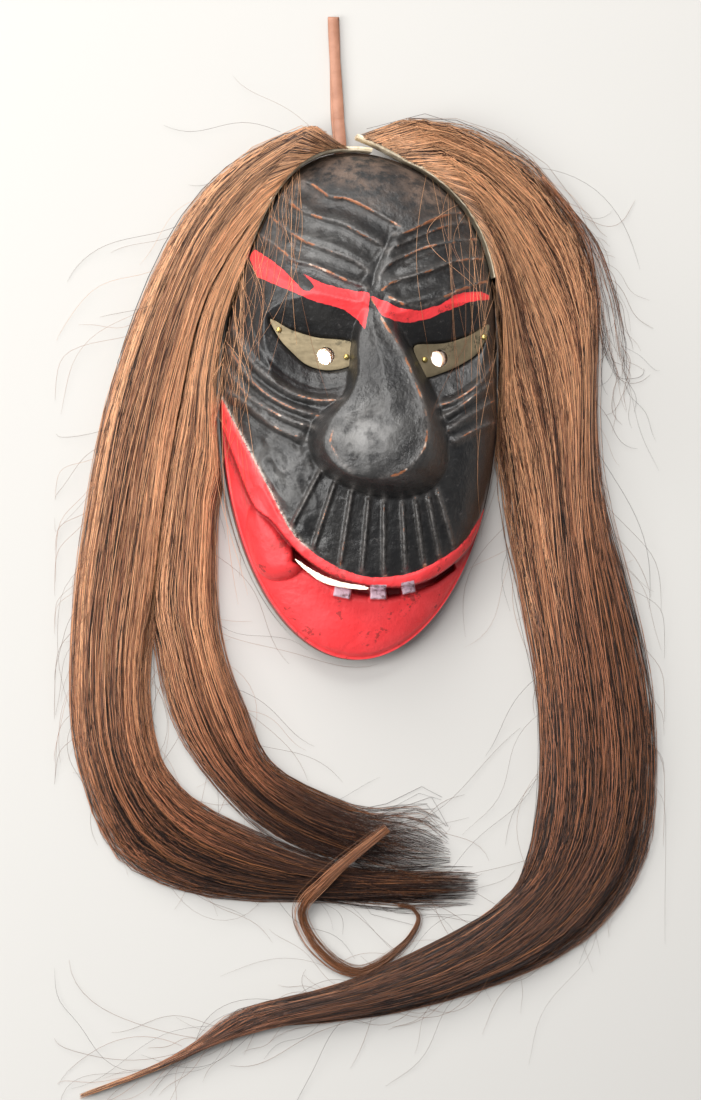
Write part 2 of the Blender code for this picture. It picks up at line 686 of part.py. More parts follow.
def keep_beside_mask(x, y, stands_off=False):
    """Pushes places outward until they clear the mask and its hide strips."""
    across = x - middle_of(y)
    radius = np.maximum(radius_in_outline(x, y), 1e-6)
    away = hide_away() + 0 * x
    if stands_off:
        away = away + stand_off(np.degrees(np.arctan2(y / DRAWN_TOP, across / DRAWN_HALF_WIDTH)))
    needed = 1 + away * radius / np.maximum(np.hypot(across, y), 1e-6)
    push = np.maximum(needed / radius, 1)
    return middle_of(y) + across * push, y * push


def lock_surface(outer, inner, shares, across, root=None, stands_off=False):
    """Plan places of a lock between two edges; root is a curve that its first end follows."""
    if root is not None:
        outer = (root[0],) + tuple(outer)
        inner = (root[-1],) + tuple(inner)
    outside = evenly_along(curve_through(outer, 6), shares)
    inside = evenly_along(curve_through(inner, 6), shares)
    w = np.asarray(across)[None, :, None]
    places = outside[:, None, :] * (1 - w) + inside[:, None, :] * w
    if root is not None:
        straight = outside[0] * (1 - w[0]) + inside[0] * w[0]
        pull = (1 - smooth_step(0.0, 0.2, np.asarray(shares)))[:, None, None]
        places = places + pull * (root - straight)[None]
    return keep_beside_mask(places[..., 0], places[..., 1], stands_off)


def build_lock(name, outer, inner, sections, columns, depth, material,
               root=None, stands_off=False, joined=None):
    """A lock of hair as one solid with pleats along it, thinner towards its tip.

    The edge named by joined lies against another lock, so it stays thick for half its way.
    """
    shares = np.linspace(0, 1, sections + 1) ** 1.12
    across = np.linspace(0, 1, columns + 1)
    x, y = lock_surface(outer, inner, shares, across, root, stands_off)
    low = hair_bottom(x, y)
    beside_other = smooth_step(0.5, 0.4, shares) * (joined is not None)
    edge = 0.3 + 0.5 * beside_other[:, None] * (across if joined == "inner" else 1 - across)[None, :]
    arch = edge + (1 - edge) * np.sqrt(np.clip(4 * across * (1 - across), 0, 1))[None, :]
    pleats = 1 - PLEAT * (np.arange(columns + 1) % 2)[None, :]
    full = np.interp(shares, (0, 0.12, 0.5, 0.8, 1.0), (1.15, 1.1, 0.85, 0.6, 0.22))[:, None]
    high = low + drawn(depth, 2) * full * arch * pleats
    at_root = smooth_step(0.16, 0.0, shares)[:, None]
    high = high + (np.maximum(drawn(HIDE_TOP, 2) - high, 0)) * at_root * (root is not None)
    rows, columns = x.shape
    top = to_real(x, y, high, False).reshape(-1, 3)
    bottom = to_real(x, y, low, False).reshape(-1, 3)
    count = len(top)
    ring = ring_of(rows, columns)
    faces = grid_faces(rows, columns) + [tuple(reversed(f)) for f in grid_faces(rows, columns, count)]
    faces += [
        (ring[k], ring[(k + 1) % len(ring)], count + ring[(k + 1) % len(ring)], count + ring[k])
        for k in range(len(ring))
    ]
    return new_object(name, np.vstack([top, bottom]), faces, material)


def root_curve(first, last, columns, stands_off=False):
    """Where a lock's hairs leave the hide strip."""
    angles = np.linspace(first, last, columns + 1)
    x, y = beside_outline(angles, hide_away() + (stand_off(angles) if stands_off else 0))
    return np.stack([x, y], axis=1)


def down_the_side(first, last, steps=5):
    """Places beside the mask, from the end of a hide strip down along the face."""
    angles = np.linspace(first, last, steps)
    x, y = beside_outline(angles, hide_away())
    return tuple(zip(x, y))


def build_hair(hair):
    """Every lock of the hair, each lying on the ground beside or below the mask."""
    first, middle, last = LEFT_ROOT
    split = tuple((x - drawn(CLEARANCE), y) for x, y in LEFT_SPLIT)
    build_lock(
        "hair_left_outer", LEFT_OUTER_EDGE, split + LEFT_SPLIT_OUTER,
        28, 8, HAIR_DEPTH, hair, root_curve(first, middle - 0.5, 8), joined="inner",
    )
    split = tuple((x + drawn(CLEARANCE), y) for x, y in LEFT_SPLIT)
    build_lock(
        "hair_left_inner", split + LEFT_SPLIT_INNER,
        down_the_side(last, LEFT_SIDE_END)[1:] + LEFT_INNER_EDGE,
        26, 6, 0.9 * HAIR_DEPTH, hair, root_curve(middle + 0.5, last, 6), joined="outer",
    )
    first, last = RIGHT_ROOT
    build_lock(
        "hair_right", RIGHT_OUTER_EDGE, down_the_side(last, RIGHT_SIDE_END)[1:] + RIGHT_INNER_EDGE,
        40, 8, HAIR_DEPTH, hair, root_curve(first, last, 8, True), True,
    )
    build_lock("hair_right_stray", STRAY_OUTER_EDGE, STRAY_INNER_EDGE, 9, 3, 0.4 * HAIR_DEPTH, hair)
    build_loop_strand(hair)


def build_loop_strand(hair):
    """The thin strand that strays from the left locks and curls round to them again."""
    route = curve_through(LOOP_ROUTE, 3)
    curve = bpy.data.curves.new("hair_loop_strand", "CURVE")
    curve.dimensions = "3D"
    curve.bevel_depth = LOOP_STRAND_DIAMETER / 2
    curve.bevel_resolution = 1
    curve.use_fill_caps = True
    spline = curve.splines.new("POLY")
    spline.points.add(len(route) - 1)
    for point, (x, y, z) in zip(spline.points, route):
        point.co = (*to_real(x, y, z, False), 1.0)
    curve.materials.append(hair)
    strand = bpy.data.objects.new("hair_loop_strand", curve)
    bpy.context.scene.collection.objects.link(strand)
    return strand


def lace_places():
    """Places of the lace at its foot and its head, in metres."""
    _, edge = beside_outline([97.0], 0.0)
    wall = to_real(LACE_FOOT, edge[0], 0)
    head = to_real(LACE_HEAD, edge[0], 0)
    return wall, head[0]


def lace_hole_cutter():
    """The slot in the top wall that the folded lace comes out of."""
    wall, _ = lace_places()
    half = LACE_WIDTH / 2 + CLEARANCE
    tall = LACE_THICKNESS + 2 * CLEARANCE
    low, high = LACE_HOLE_HEIGHT - tall, LACE_HOLE_HEIGHT + tall
    points = [
        (wall[0] + sx * half, wall[1] + sy, z)
        for z in (low, high)
        for sx, sy in ((-1, -3 * RIM_WIDTH), (1, -3 * RIM_WIDTH), (1, RIM_WIDTH), (-1, RIM_WIDTH))
    ]
    box = [(0, 1, 2, 3), (4, 5, 6, 7), (0, 1, 5, 4), (1, 2, 6, 5), (2, 3, 7, 6), (3, 0, 4, 7)]
    return make_cutter(new_object("lace_hole", points, box))


def build_lace(leather):
    """A leather lace folded into a hanging loop, knotted inside the mask."""
    wall, head_x = lace_places()
    inside = wall[1] - 1.9 * RIM_WIDTH
    outside = wall[1] + 5 * MM
    landed = wall[1] + 24 * MM
    head = wall[1] + LACE_LENGTH - LACE_THICKNESS
    step = (LACE_THICKNESS + CLEARANCE) / 2
    hole, ground = LACE_HOLE_HEIGHT, LACE_THICKNESS + CLEARANCE
    middle = [
        (inside, hole), (outside, hole), (outside + 5 * MM, hole - 1.2 * MM),
        ((outside + landed) / 2, (hole + ground) / 2 - 0.4 * MM), (landed - 4 * MM, ground + 0.7 * MM),
        (landed, ground), ((landed + head) / 2, ground), (head, ground),
    ]
    back = [(y, z - step) for y, z in middle]
    front = [(y, z + step) for y, z in reversed(middle)]
    bend = [(head + step * math.sin(a), ground - step * math.cos(a)) for a in (0.8, 1.57, 2.34)]
    path = back + bend + front
    points, faces = [], []
    thick = LACE_THICKNESS / 2
    for k, (y, z) in enumerate(path):
        before, after = path[max(k - 1, 0)], path[min(k + 1, len(path) - 1)]
        along = np.array((after[0] - before[0], after[1] - before[1]))
        along = along / np.linalg.norm(along)
        share = np.clip((y - wall[1]) / LACE_LENGTH, 0, 1)
        x = wall[0] + (head_x - wall[0]) * share
        half = LACE_WIDTH / 2 * (1 - 0.12 * share)
        for across, off in ((-1, -1), (1, -1), (1, 1), (-1, 1)):
            points.append((x + across * half, y - off * thick * along[1], z + off * thick * along[0]))
    for k in range(len(path) - 1):
        for side in range(4):
            a, b = 4 * k + side, 4 * k + (side + 1) % 4
            faces.append((a, b, b + 4, a + 4))
    faces += [(0, 1, 2, 3), tuple(range(len(points) - 4, len(points)))]
    lace = new_object("hanging_lace", points, faces, leather)

    shape = bmesh.new()
    bmesh.ops.create_icosphere(shape, subdivisions=2, radius=LACE_KNOT_DIAMETER / 2)
    mesh = bpy.data.meshes.new("lace_knot")
    shape.to_mesh(mesh)
    shape.free()
    mesh.shade_smooth()
    knot = bpy.data.objects.new("lace_knot", mesh)
    bpy.context.scene.collection.objects.link(knot)
    knot.location = (wall[0], inside - LACE_KNOT_DIAMETER / 5, hole)
    make_cutter(knot)
    join = lace.modifiers.new("knot", "BOOLEAN")
    join.operation = "UNION"
    join.solver = "EXACT"
    join.object = knot
    return lace


def stand_on_origin():
    """Moves everything so that the origin lies under the middle of the whole object."""
    bpy.context.view_layer.update()
    graph = bpy.context.evaluated_depsgraph_get()
    corners = []
    for made in bpy.context.scene.objects:
        if not made.hide_render:
            shown = made.evaluated_get(graph)
            corners += [shown.matrix_world @ v.co for v in shown.to_mesh().vertices]
            shown.to_mesh_clear()
    low = Vector(min(c[k] for c in corners) for k in range(3))
    high = Vector(max(c[k] for c in corners) for k in range(3))
    shift = Vector((-(low.x + high.x) / 2, -(low.y + high.y) / 2, -low.z))
    root = bpy.data.objects.new("mask_on_its_back", None)
    bpy.context.scene.collection.objects.link(root)
    for made in list(bpy.context.scene.objects):
        if made is not root:
            made.parent = root
    root.location = shift
    return root


def main():
    """Clears the scene and builds the mask."""
    for old in list(bpy.data.objects):
        bpy.data.objects.remove(old)
    wood = make_material("painted_wood", (0.03, 0.03, 0.032), 0.45)
    metal = make_material("sheet_metal", (0.42, 0.39, 0.29), 0.4, 0.9)
    brass = make_material("brass_tacks", (0.6, 0.47, 0.2), 0.35, 1.0)
    hide = make_material("rawhide", (0.66, 0.56, 0.38), 0.6)
    hair = make_material("horsehair", (0.26, 0.15, 0.08), 0.45)
    leather = make_material("leather", (0.55, 0.27, 0.17), 0.6)

    build_mask(wood)
    for side, eye in EYES.items():
        build_eye_plate(side, eye, metal)
        build_tacks(side, eye, brass)
    build_hide_strip("hide_strip_left", *LEFT_STRIP, False, hide)
    build_hide_strip("hide_strip_right", *RIGHT_STRIP, True, hide)
    build_hair(hair)
    build_lace(leather)
    stand_on_origin()


main()
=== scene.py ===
"""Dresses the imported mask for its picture: carving, paint, metal, hide, lace and loose hair.

The carving and the fall of the hair are drawn in drawing millimetres, as the part's source
draws them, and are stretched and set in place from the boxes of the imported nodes.
"""

import math

import bmesh
import bpy
import numpy as np
from bpy.props import FloatProperty, FloatVectorProperty, IntProperty, PointerProperty
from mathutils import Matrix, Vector


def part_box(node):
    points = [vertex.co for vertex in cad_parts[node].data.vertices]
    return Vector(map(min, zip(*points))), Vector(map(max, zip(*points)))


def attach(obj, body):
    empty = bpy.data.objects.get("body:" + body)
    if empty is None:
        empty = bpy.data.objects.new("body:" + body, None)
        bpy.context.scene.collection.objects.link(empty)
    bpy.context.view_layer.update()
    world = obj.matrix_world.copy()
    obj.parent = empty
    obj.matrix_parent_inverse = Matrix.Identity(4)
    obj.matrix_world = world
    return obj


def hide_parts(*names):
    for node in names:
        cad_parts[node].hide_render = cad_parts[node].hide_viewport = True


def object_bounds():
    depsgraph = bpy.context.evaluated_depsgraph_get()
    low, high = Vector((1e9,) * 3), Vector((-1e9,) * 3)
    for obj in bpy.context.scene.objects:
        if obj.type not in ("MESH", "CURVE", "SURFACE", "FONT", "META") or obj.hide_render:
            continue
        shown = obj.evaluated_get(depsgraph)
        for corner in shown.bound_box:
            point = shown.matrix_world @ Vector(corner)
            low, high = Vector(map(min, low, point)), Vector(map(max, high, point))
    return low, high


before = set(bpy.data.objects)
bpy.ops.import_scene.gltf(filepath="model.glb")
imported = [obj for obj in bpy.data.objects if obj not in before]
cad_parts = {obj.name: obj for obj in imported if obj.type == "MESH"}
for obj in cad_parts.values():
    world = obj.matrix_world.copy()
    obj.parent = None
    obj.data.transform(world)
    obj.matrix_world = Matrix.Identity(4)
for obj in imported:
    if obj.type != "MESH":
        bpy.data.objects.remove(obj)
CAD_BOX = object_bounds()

bl_info = {
    "name": "Carved Mask Finish",
    "version": (1, 0, 0),
    "blender": (4, 5, 0),
    "location": "View3D > Sidebar > Mask",
    "description": "Builds the finished look of a carved mask with metal eyes and horsehair",
    "category": "Object",
}

MM = 0.001

# The drawing, in drawing millimetres.
DRAWN_HALF_WIDTH = 76.5
DRAWN_TOP = 137.5
DRAWN_BOTTOM = 142.0
DRAWN_DEPTH = 99.0
SHOULDER_FULLNESS = 0.2
SWAY_RIGHT, SWAY_LEFT, SWAY_LOW = 21.0, 25.5, 1.5
LEAN_ACROSS = 0.14
LEAN_UP = 0.033
EDGE_HEIGHT = 15.0
RIM_WIDTH = 11.5
CAVITY_DEPTH = 37.0
HIDE_BOTTOM = 12.6
HIDE_TOP = 24.0
HAIR_DEPTH = 19.0
CLEARANCE = 0.35
HIDE_THICKNESS = 2.0

# Cells of the carved face across and along, and rings of its hollow.
FACE_CELLS = (206, 360)
HOLLOW_RINGS = 9

# Wrinkles of the forehead, each a sharp edge between two gouge cuts.
FOREHEAD_LEFT = (
    ((-37, 122), (-26, 117), (-18, 111), (-10, 110), (-2, 107), (9, 101), (21, 94)),
    ((-44, 113), (-35, 104), (-23, 99), (-10, 95), (3, 88), (13, 82)),
    ((-51, 101), (-41, 92), (-30, 85), (-17, 80), (-5, 75), (4, 69)),
    ((-59, 92), (-50, 86), (-43, 80), (-37, 75), (-26, 72), (-8, 64), (3, 60)),
)
FOREHEAD_RIGHT = (
    ((18, 90), (27, 92), (36, 97), (45, 101), (55, 104)),
    ((14, 80), (23, 85), (34, 90), (45, 95), (60, 99)),
    ((9, 65), (15, 73), (24, 78), (35, 83), (48, 86), (65, 90)),
    ((11, 59), (18, 64), (29, 67), (40, 71), (52, 76), (69, 79)),
    ((15, 55), (24, 51), (34, 51), (44, 55), (54, 60), (69, 66)),
)
FLUTE_DEPTH, FLUTE_WIDTH, FLUTE_EDGE = 9.5, 12.0, 0.8
FOREHEAD_CREASE = ((22, 94), (15, 87), (12, 81), (7, 69), (5, 58))
BROWS = (
    ((-66, 76), (-52, 67), (-35, 60), (-18, 53), (-2, 48)),
    ((9, 49), (20, 45), (33, 46), (48, 52), (70, 58)),
)

# Wrinkles that wrap under each eye, from the side of the face to the nose.
CHEEK_LEFT = (
    ((-71, 40), (-62, 22), (-52, 12), (-38, 3), (-23, -1), (-10, 0)),
    ((-73, 28), (-64, 14), (-53, 3), (-39, -5), (-22, -10)),
    ((-74, 17), (-64, 3), (-51, -6), (-39, -12), (-26, -16)),
    ((-74, 5), (-63, -3), (-50, -14), (-40, -19), (-31, -22)),
)
CHEEK_RIGHT = (
    ((41, -3), (49, -1), (59, 5), (67, 12), (74, 23)),
    ((43, -10), (50, -6), (57, -1), (65, 5), (73, 12)),
    ((46, -18), (51, -14), (58, -9), (66, -4), (74, 1)),
    ((48, -24), (55, -20), (62, -16), (74, -11)),
)
CHEEK_GROOVE = ((-75, -1), (-63, -8), (-50, -17), (-38, -23), (-30, -29))
# Fine lines scored between the wrinkles.
SCORED_LINES = (
    ((-62, 55), (-59, 38), (-51, 22), (-39, 12), (-23, 6), (-8, 8)),
    ((-72, 34), (-63, 18), (-53, 8), (-39, -1), (-23, -5)),
    ((-73, 22), (-64, 9), (-52, -1), (-39, -8), (-25, -13)),
    ((-58, 86), (-48, 81), (-41, 77)),
    ((40, -7), (50, -4), (58, 2), (66, 8), (74, 17)),
    ((45, -14), (51, -10), (58, -5), (66, 0), (74, 6)),
)
RIBS = (
    ((-22, -38), (-39, -70)), ((-14, -43), (-27, -82)), ((-5, -47), (-12, -91)),
    ((4, -51), (0, -95)), ((12, -53), (12, -96)), ((22, -54), (24, -94)),
    ((29, -53), (34, -90)), ((36, -51), (43, -88)), ((41, -48), (51, -82)),
)

EYE_LEFT = (
    (-51, 44), (-39, 38), (-23, 34), (-4, 31), (-3, 21),
    (-9, 16.5), (-20, 15), (-31, 18), (-39, 25), (-46, 33),
)
EYE_RIGHT = (
    (28, 29.5), (43, 31.5), (59, 36), (70, 42.5), (70.5, 38),
    (65, 26.5), (54, 18.5), (43, 14), (34, 12), (31, 19),
)
# Outline, hole, height at the hole, slope across and tacks, for each eye.
EYES = {
    "left": (EYE_LEFT, (-20.0, 23.5), 48.0, 0.12, ((-45.5, 37.5), (-8.5, 23.0))),
    "right": (EYE_RIGHT, (42.5, 23.0), 46.0, -0.22, ((34.5, 22.0), (67.5, 35.0))),
}
EYE_STEP = 2.2
EYE_HOLE_RADIUS = 4.75
# Levels that a drill runs between, below and above the mask.
DRILL_SPAN = (-20, 120)
PLATE_THICKNESS = 0.95
TACK_RADIUS = 1.6
BROW_SLOPE = 0.64
LID_SLOPE = 0.5

NOSE_TOP = (
    (5.5, 54), (12, 41), (21, 27), (28, 11), (33, -3), (35, -16), (33.5, -27),
    (27, -36), (16, -42), (4, -43), (-7, -41), (-14.5, -36), (-20.5, -26),
    (-19, -17), (-14, -8), (-6.5, 1), (-2, 14), (-2, 30), (1, 44),
)
NOSE_FOOT = (
    (4.5, 59), (16, 47), (26, 30), (36, 12), (43, -5), (47, -22), (47, -36),
    (40, -47), (27, -53), (12, -54), (-4, -50), (-17, -43), (-26, -34),
    (-29.5, -23), (-27, -13), (-19, -5), (-11, 1), (-8, 9), (-7, 22), (-5, 36), (0, 49),
)
NOSE_RIDGE = (
    (60, 62), (45, 67.5), (30, 73.5), (12, 82), (-5, 89), (-20, 94), (-33, 97), (-43, 96), (-55, 88),
)
NOSE_TILT = 0.17
# Worn edges of the nose: down its right side and round its tip.
NOSE_WORN = (
    ((5.5, 54), (12, 41), (21, 27), (28, 11), (33, -3), (35, -16), (33.5, -27), (27, -36)),
    ((30, -34), (20, -41), (10, -43)),
    ((-16, -18), (-17, -25), (-12, -34), (-6, -40)),
)

# Places that hands have rubbed, which also carry a painted highlight: middle, reach and how much.
RUBBED_HIGHLIGHT_PLACES = (
    ((1, -19), 15, 1.0), ((-50, -42), 18, 0.5), ((-32, 84), 22, 0.45), ((12, 66), 8, 0.25),
)

LIP_EDGE = (
    (-78, -14), (-71, -31), (-64, -49), (-58, -60), (-50, -66), (-40, -78), (-32, -86),
    (-17, -95.5), (2, -101), (21, -102), (37, -98), (51, -89), (62, -77), (69, -63), (75, -46),
)
JAW_EDGE = (
    (-38, -88), (-32, -91.5), (-23, -96), (-12, -102), (-1, -105.5), (12, -107), (26, -105),
    (40, -100), (52, -92),
)
TONGUE = (
    (-61, -58), (-55, -59), (-45, -70), (-36, -82), (-32, -89), (-36, -95),
    (-43, -98), (-51, -98), (-58, -93), (-62, -83), (-64, -71),
)
MOUTH_HOLE = (
    (-37, -86.5), (-25, -94), (-12, -99), (2, -101.5),
    (2.5, -103.5), (-9, -102.5), (-22, -99.5), (-33, -91.5),
)
# Teeth: middle, width, height and turn in degrees.
TEETH = (
    ((-10.5, -103.5), 9.5, 8.5, -12), ((9.0, -104.5), 9.0, 8.0, 0), ((25.5, -102.0), 7.5, 6.5, 12),
)

# Edges of the paint.
RED_BROWS = (
    (
        (-62.5, 80), (-59, 82.5), (-51, 76.5), (-44, 71), (-37.5, 64), (-32, 58), (-28, 58),
        (-26, 60.5), (-28.5, 64), (-32.5, 68), (-23, 63), (-13, 60), (4, 57), (3.5, 47.5),
        (1.5, 37), (-2.5, 43), (-10.5, 48.5), (-27.5, 53), (-42, 59.5), (-57.5, 66.5), (-61.5, 76.5),
    ),
    (
        (5, 55.5), (13, 52.5), (20.5, 49), (31, 48), (43.5, 51.5), (51, 57), (55.5, 58.5), (66, 60),
        (70.5, 58), (70.5, 56), (59, 53.5), (48, 49), (36.5, 44), (26.5, 41.5), (18.5, 42), (11, 45),
        (7.5, 49.5),
    ),
)
RED_MOUTH = (
    (-77.5, 1), (-67, -19), (-55, -41), (-39.5, -70.5), (-27.5, -82.5), (-11.5, -92), (5.5, -96.5),
    (23.5, -95), (34.5, -91), (45.5, -85), (55, -78), (64, -66), (72, -52),
)

# Plan edges of the hair, from the forehead to the tips.
LEFT_OUTER_EDGE = (
    (-18, 148), (-34, 150), (-67, 132), (-94, 103), (-116, 60), (-136, 0), (-146, -55),
    (-153, -110), (-155, -165), (-149, -203), (-130, -245), (-100, -263), (-67, -271),
    (-28, -273), (21, -273.5), (66, -272),
)
LEFT_SPLIT = ((-85, 60), (-100, 0), (-109, -55), (-115, -108))
LEFT_SPLIT_OUTER = (
    (-120.5, -143), (-119.5, -176), (-112, -203), (-94, -223), (-67, -238), (-34, -251),
    (-6, -258), (32, -263), (67, -265),
)
LEFT_SPLIT_INNER = (
    (-109, -135), (-104, -160), (-93, -187), (-73, -214), (-50, -235), (-23, -248),
    (10, -256), (35, -257), (52, -253),
)
LEFT_INNER_EDGE = (
    (-81, -55), (-82.5, -110), (-77, -143), (-67, -170), (-55, -197), (-34, -213),
    (-1, -227), (32, -235.5), (51, -246),
)
RIGHT_OUTER_EDGE = (
    (3, 151), (21, 155), (43, 155), (70, 144), (98, 125), (121, 93), (131, 60), (132, 27),
    (131, -11), (134, -55), (147, -110), (157, -160), (160, -205), (154, -247), (137, -278),
    (109, -303), (66, -322), (18, -335), (-34, -342), (-60, -344), (-80, -353), (-115, -368),
    (-154, -381.5),
)
RIGHT_INNER_EDGE = (
    (81, -28), (88, -68), (96, -110), (104, -150), (107, -193), (105, -232), (97, -262), (80, -279),
    (43, -302), (-1, -321), (-45, -331), (-66, -337), (-84, -350), (-115, -365.5), (-154, -379.5),
)
STRAY_OUTER_EDGE = ((103, 128), (131, 96), (143, 66), (149, 38), (151.5, 12))
STRAY_INNER_EDGE = ((101, 125.5), (124.5, 93.5), (134.5, 61), (140, 32), (149, 11))
LOOP_ROUTE = (
    (14, -234.5, 17), (-9, -253, 16.5), (-22, -265, 16), (-31, -276, 9.5), (-31, -286, 2.7),
    (-24, -299, 2.4), (-12, -310, 2.4), (0, -314, 2.4), (12, -309.5, 2.4), (23, -301, 2.4),
    (30, -293, 2.4), (33.5, -285, 2.4), (30, -279.5, 2.4), (22, -277.5, 2.4),
)
LEFT_STRIP = (84.0, 150.0)
RIGHT_STRIP = (89.0, 30.0)
LEFT_ROOT = (92.0, 124.0, 149.0)
RIGHT_ROOT = (87.5, 31.0)
LEFT_SIDE_END = 197.0
RIGHT_SIDE_END = -8.0
STRIP_STAND_OFF = 7.0
STAND_OFF_SPAN = 17.0
LACE_FOOT, LACE_HEAD = -11.0, -14.0
LACE_WIDTH, LACE_THICKNESS = 6.4, 1.6
LACE_HOLE_HEIGHT = 8.2
KNOT_RADIUS = 5.5
# Where the knot and the lace's inner end lie, behind the wall.
LACE_INSIDE, KNOT_INSIDE = 16, 22
# How the hair's colour falls from light roots (0) to dark tips (1) along each lock.
FADING = {
    "hair_right": (
        (0, 0.12, 0.25, 0.4, 0.6, 0.8, 0.92, 1),
        (0.02, 0.20, 0.40, 0.64, 0.86, 0.86, 0.58, 0.3),
    ),
    "hair_right_stray": ((0, 1), (0.55, 0.9)),
    "other": ((0, 0.2, 0.5, 0.66, 0.78, 1), (0.03, 0.24, 0.39, 0.62, 0.90, 1.0)),
}
# How far hairs lap over the hide strip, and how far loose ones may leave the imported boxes.
ROOT_LAP = 1.9
LOOSE_ROOM = 13.0
# How far beside a lock its own hairs may stray, as a share of its width.
EDGE_ROOM = 0.16
# The dense body of a lock ends before its hairs do.
CORE_SHARE = 0.84

# Shades of the finishes beside their main colours, which the settings hold.
BLACK_CLOUD = (0.019, 0.018, 0.017, 1)
BLACK_RUBBED = (0.085, 0.078, 0.075, 1)
# Grey of rubbed paint with a painted highlight along the crests.
BLACK_CREST_HIGHLIGHT = (0.17, 0.155, 0.145, 1)
# Grey of rubbed paint with a painted highlight, on places that hands rub.
BLACK_RUBBED_HIGHLIGHT = (0.24, 0.235, 0.228, 1)
BLACK_BROWNED = (0.16, 0.105, 0.077, 1)
RED_CLOUD = (0.98, 0.062, 0.070, 1)
RED_SPECK = (0.60, 0.02, 0.025, 1)
# Red in painted shade, under the lip and low in the mouth.
RED_IN_SHADE = (0.24, 0.006, 0.010, 1)
RED_SCUFF = (0.16, 0.022, 0.018, 1)
BARE_WOOD_DARK = (0.26, 0.075, 0.028, 1)
BARE_WOOD_LIGHT = (0.50, 0.20, 0.085, 1)
BARE_WOOD_PALE = (0.66, 0.52, 0.42, 1)
BACK_WOOD_DARK = (0.20, 0.105, 0.05, 1)
BACK_WOOD_LIGHT = (0.36, 0.21, 0.11, 1)
DUST = (0.22, 0.20, 0.19, 1)
CHIPPED_EDGE = (0.66, 0.60, 0.52, 1)
TOOTH_DARK = (0.20, 0.10, 0.11, 1)
TOOTH_LILAC = (0.62, 0.44, 0.52, 1)
SHEET_CLOUD = (0.26, 0.21, 0.13, 1)
SHEET_STAIN = (0.10, 0.085, 0.055, 1)
BRASS_DARK = (0.30, 0.21, 0.06, 1)
HIDE_CLOUD = (0.60, 0.48, 0.31, 1)
LEATHER_CLOUD = (0.50, 0.235, 0.145, 1)
LEATHER_RUBBED = (0.15, 0.055, 0.030, 1)
HAIR_LIGHTER = (1.7, 1.65, 1.6, 1)
HAIR_DARKER = (0.14, 0.12, 0.12, 1)
HAIR_RUSTY = (0.42, 0.17, 0.07, 1)
# Painted shade for the dense body under the loose hairs.
HAIR_BODY_SHADE = (0.34, 0.29, 0.27, 1)

# Full pieces of hairs: lock, letter, share of the hairs per piece, and seed.
FULL_PIECES = (
    ("hair_left_outer", "a", 0.80, 101), ("hair_left_outer", "b", 0.80, 102),
    ("hair_left_inner", "a", 1.0, 103),
    ("hair_right", "a", 1.05, 104), ("hair_right", "b", 1.05, 105),
)
# Hairs that fly off each lock, their seed and the longest one in millimetres.
FLYAWAYS = (
    ("hair_left_outer", 110, 201, 110), ("hair_left_inner", 90, 202, 110),
    ("hair_right", 150, 203, 110), ("hair_right_stray", 80, 207, 45),
)
# Hairs that hang over each edge of the face, and their seed.
OVER_FACE = (("left", 70, 401), ("right", 34, 402))
# The sparse stray lock: its share of the hairs per piece, and how far its hairs spread.
STRAY_SHARE, STRAY_SPREAD = 0.05, 0.7
LOOP_HAIRS = 60
# Radii of the sparser hairs, in millimetres.
FLYAWAY_RADIUS, CROSSING_RADIUS, OVER_FACE_RADIUS, LOOP_RADIUS = 0.09, 0.12, 0.11, 0.15

# What the camera looks at, and where the lamp under the mask stands.
PICTURE_MIDDLE = (-6.3, -82.5)
UNDER_MASK = (5.0, -30.0, 24.0)
FLOOR_HALF = 3.0
# Places far outside the face, which close the areas below its lip.
FAR_ASIDE, FAR_BELOW = 99, -170


# Plain mathematics of the drawing.

def smooth_step(low, high, value):
    """0 below low, 1 above high, and a smooth turn between them."""
    share = np.clip((value - low) / (high - low), 0.0, 1.0)
    return share * share * (3.0 - 2.0 * share)


def curve_through(points, per_span=4, closed=False):
    """Points of a smooth curve that passes through each given point."""
    given = [np.array(p, float) for p in points]
    count = len(given)
    made = []
    for i in range(count if closed else count - 1):
        if closed:
            before, a, b, after = (given[(i + k) % count] for k in (-1, 0, 1, 2))
        else:
            before, a = given[max(i - 1, 0)], given[i]
            b, after = given[i + 1], given[min(i + 2, count - 1)]
        for t in np.arange(per_span) / per_span:
            made.append(0.5 * (
                2 * a + (b - before) * t + (2 * before - 5 * a + 4 * b - after) * t**2
                + (3 * a - before - 3 * b + after) * t**3
            ))
    if not closed:
        made.append(given[-1])
    return np.array(made)


def evenly_along(points, shares):
    """Points at the given shares of a path's length."""
    steps = np.linalg.norm(np.diff(points, axis=0), axis=1)
    along = np.concatenate([[0.0], np.cumsum(steps)])
    at = np.asarray(shares) * along[-1]
    return np.stack([np.interp(at, along, points[:, k]) for k in range(points.shape[1])], axis=1)


def nearest_on_path(x, y, path):
    """Distance from each place to a path, the share of the path before it, and its side."""
    distance = np.full(x.shape, 1e9)
    share = np.zeros(x.shape)
    side = np.zeros(x.shape)
    steps = np.linalg.norm(np.diff(path, axis=0), axis=1)
    along = np.concatenate([[0.0], np.cumsum(steps)])
    for (ax, ay), (bx, by), start, length in zip(path[:-1], path[1:], along, steps):
        t = ((x - ax) * (bx - ax) + (y - ay) * (by - ay)) / max(length * length, 1e-9)
        t = np.clip(t, 0.0, 1.0)
        found = np.hypot(x - ax - t * (bx - ax), y - ay - t * (by - ay))
        closer = found < distance
        distance = np.where(closer, found, distance)
        share = np.where(closer, (start + t * length) / along[-1], share)
        side = np.where(closer, np.sign((bx - ax) * (y - ay) - (by - ay) * (x - ax)), side)
    return distance, share, side


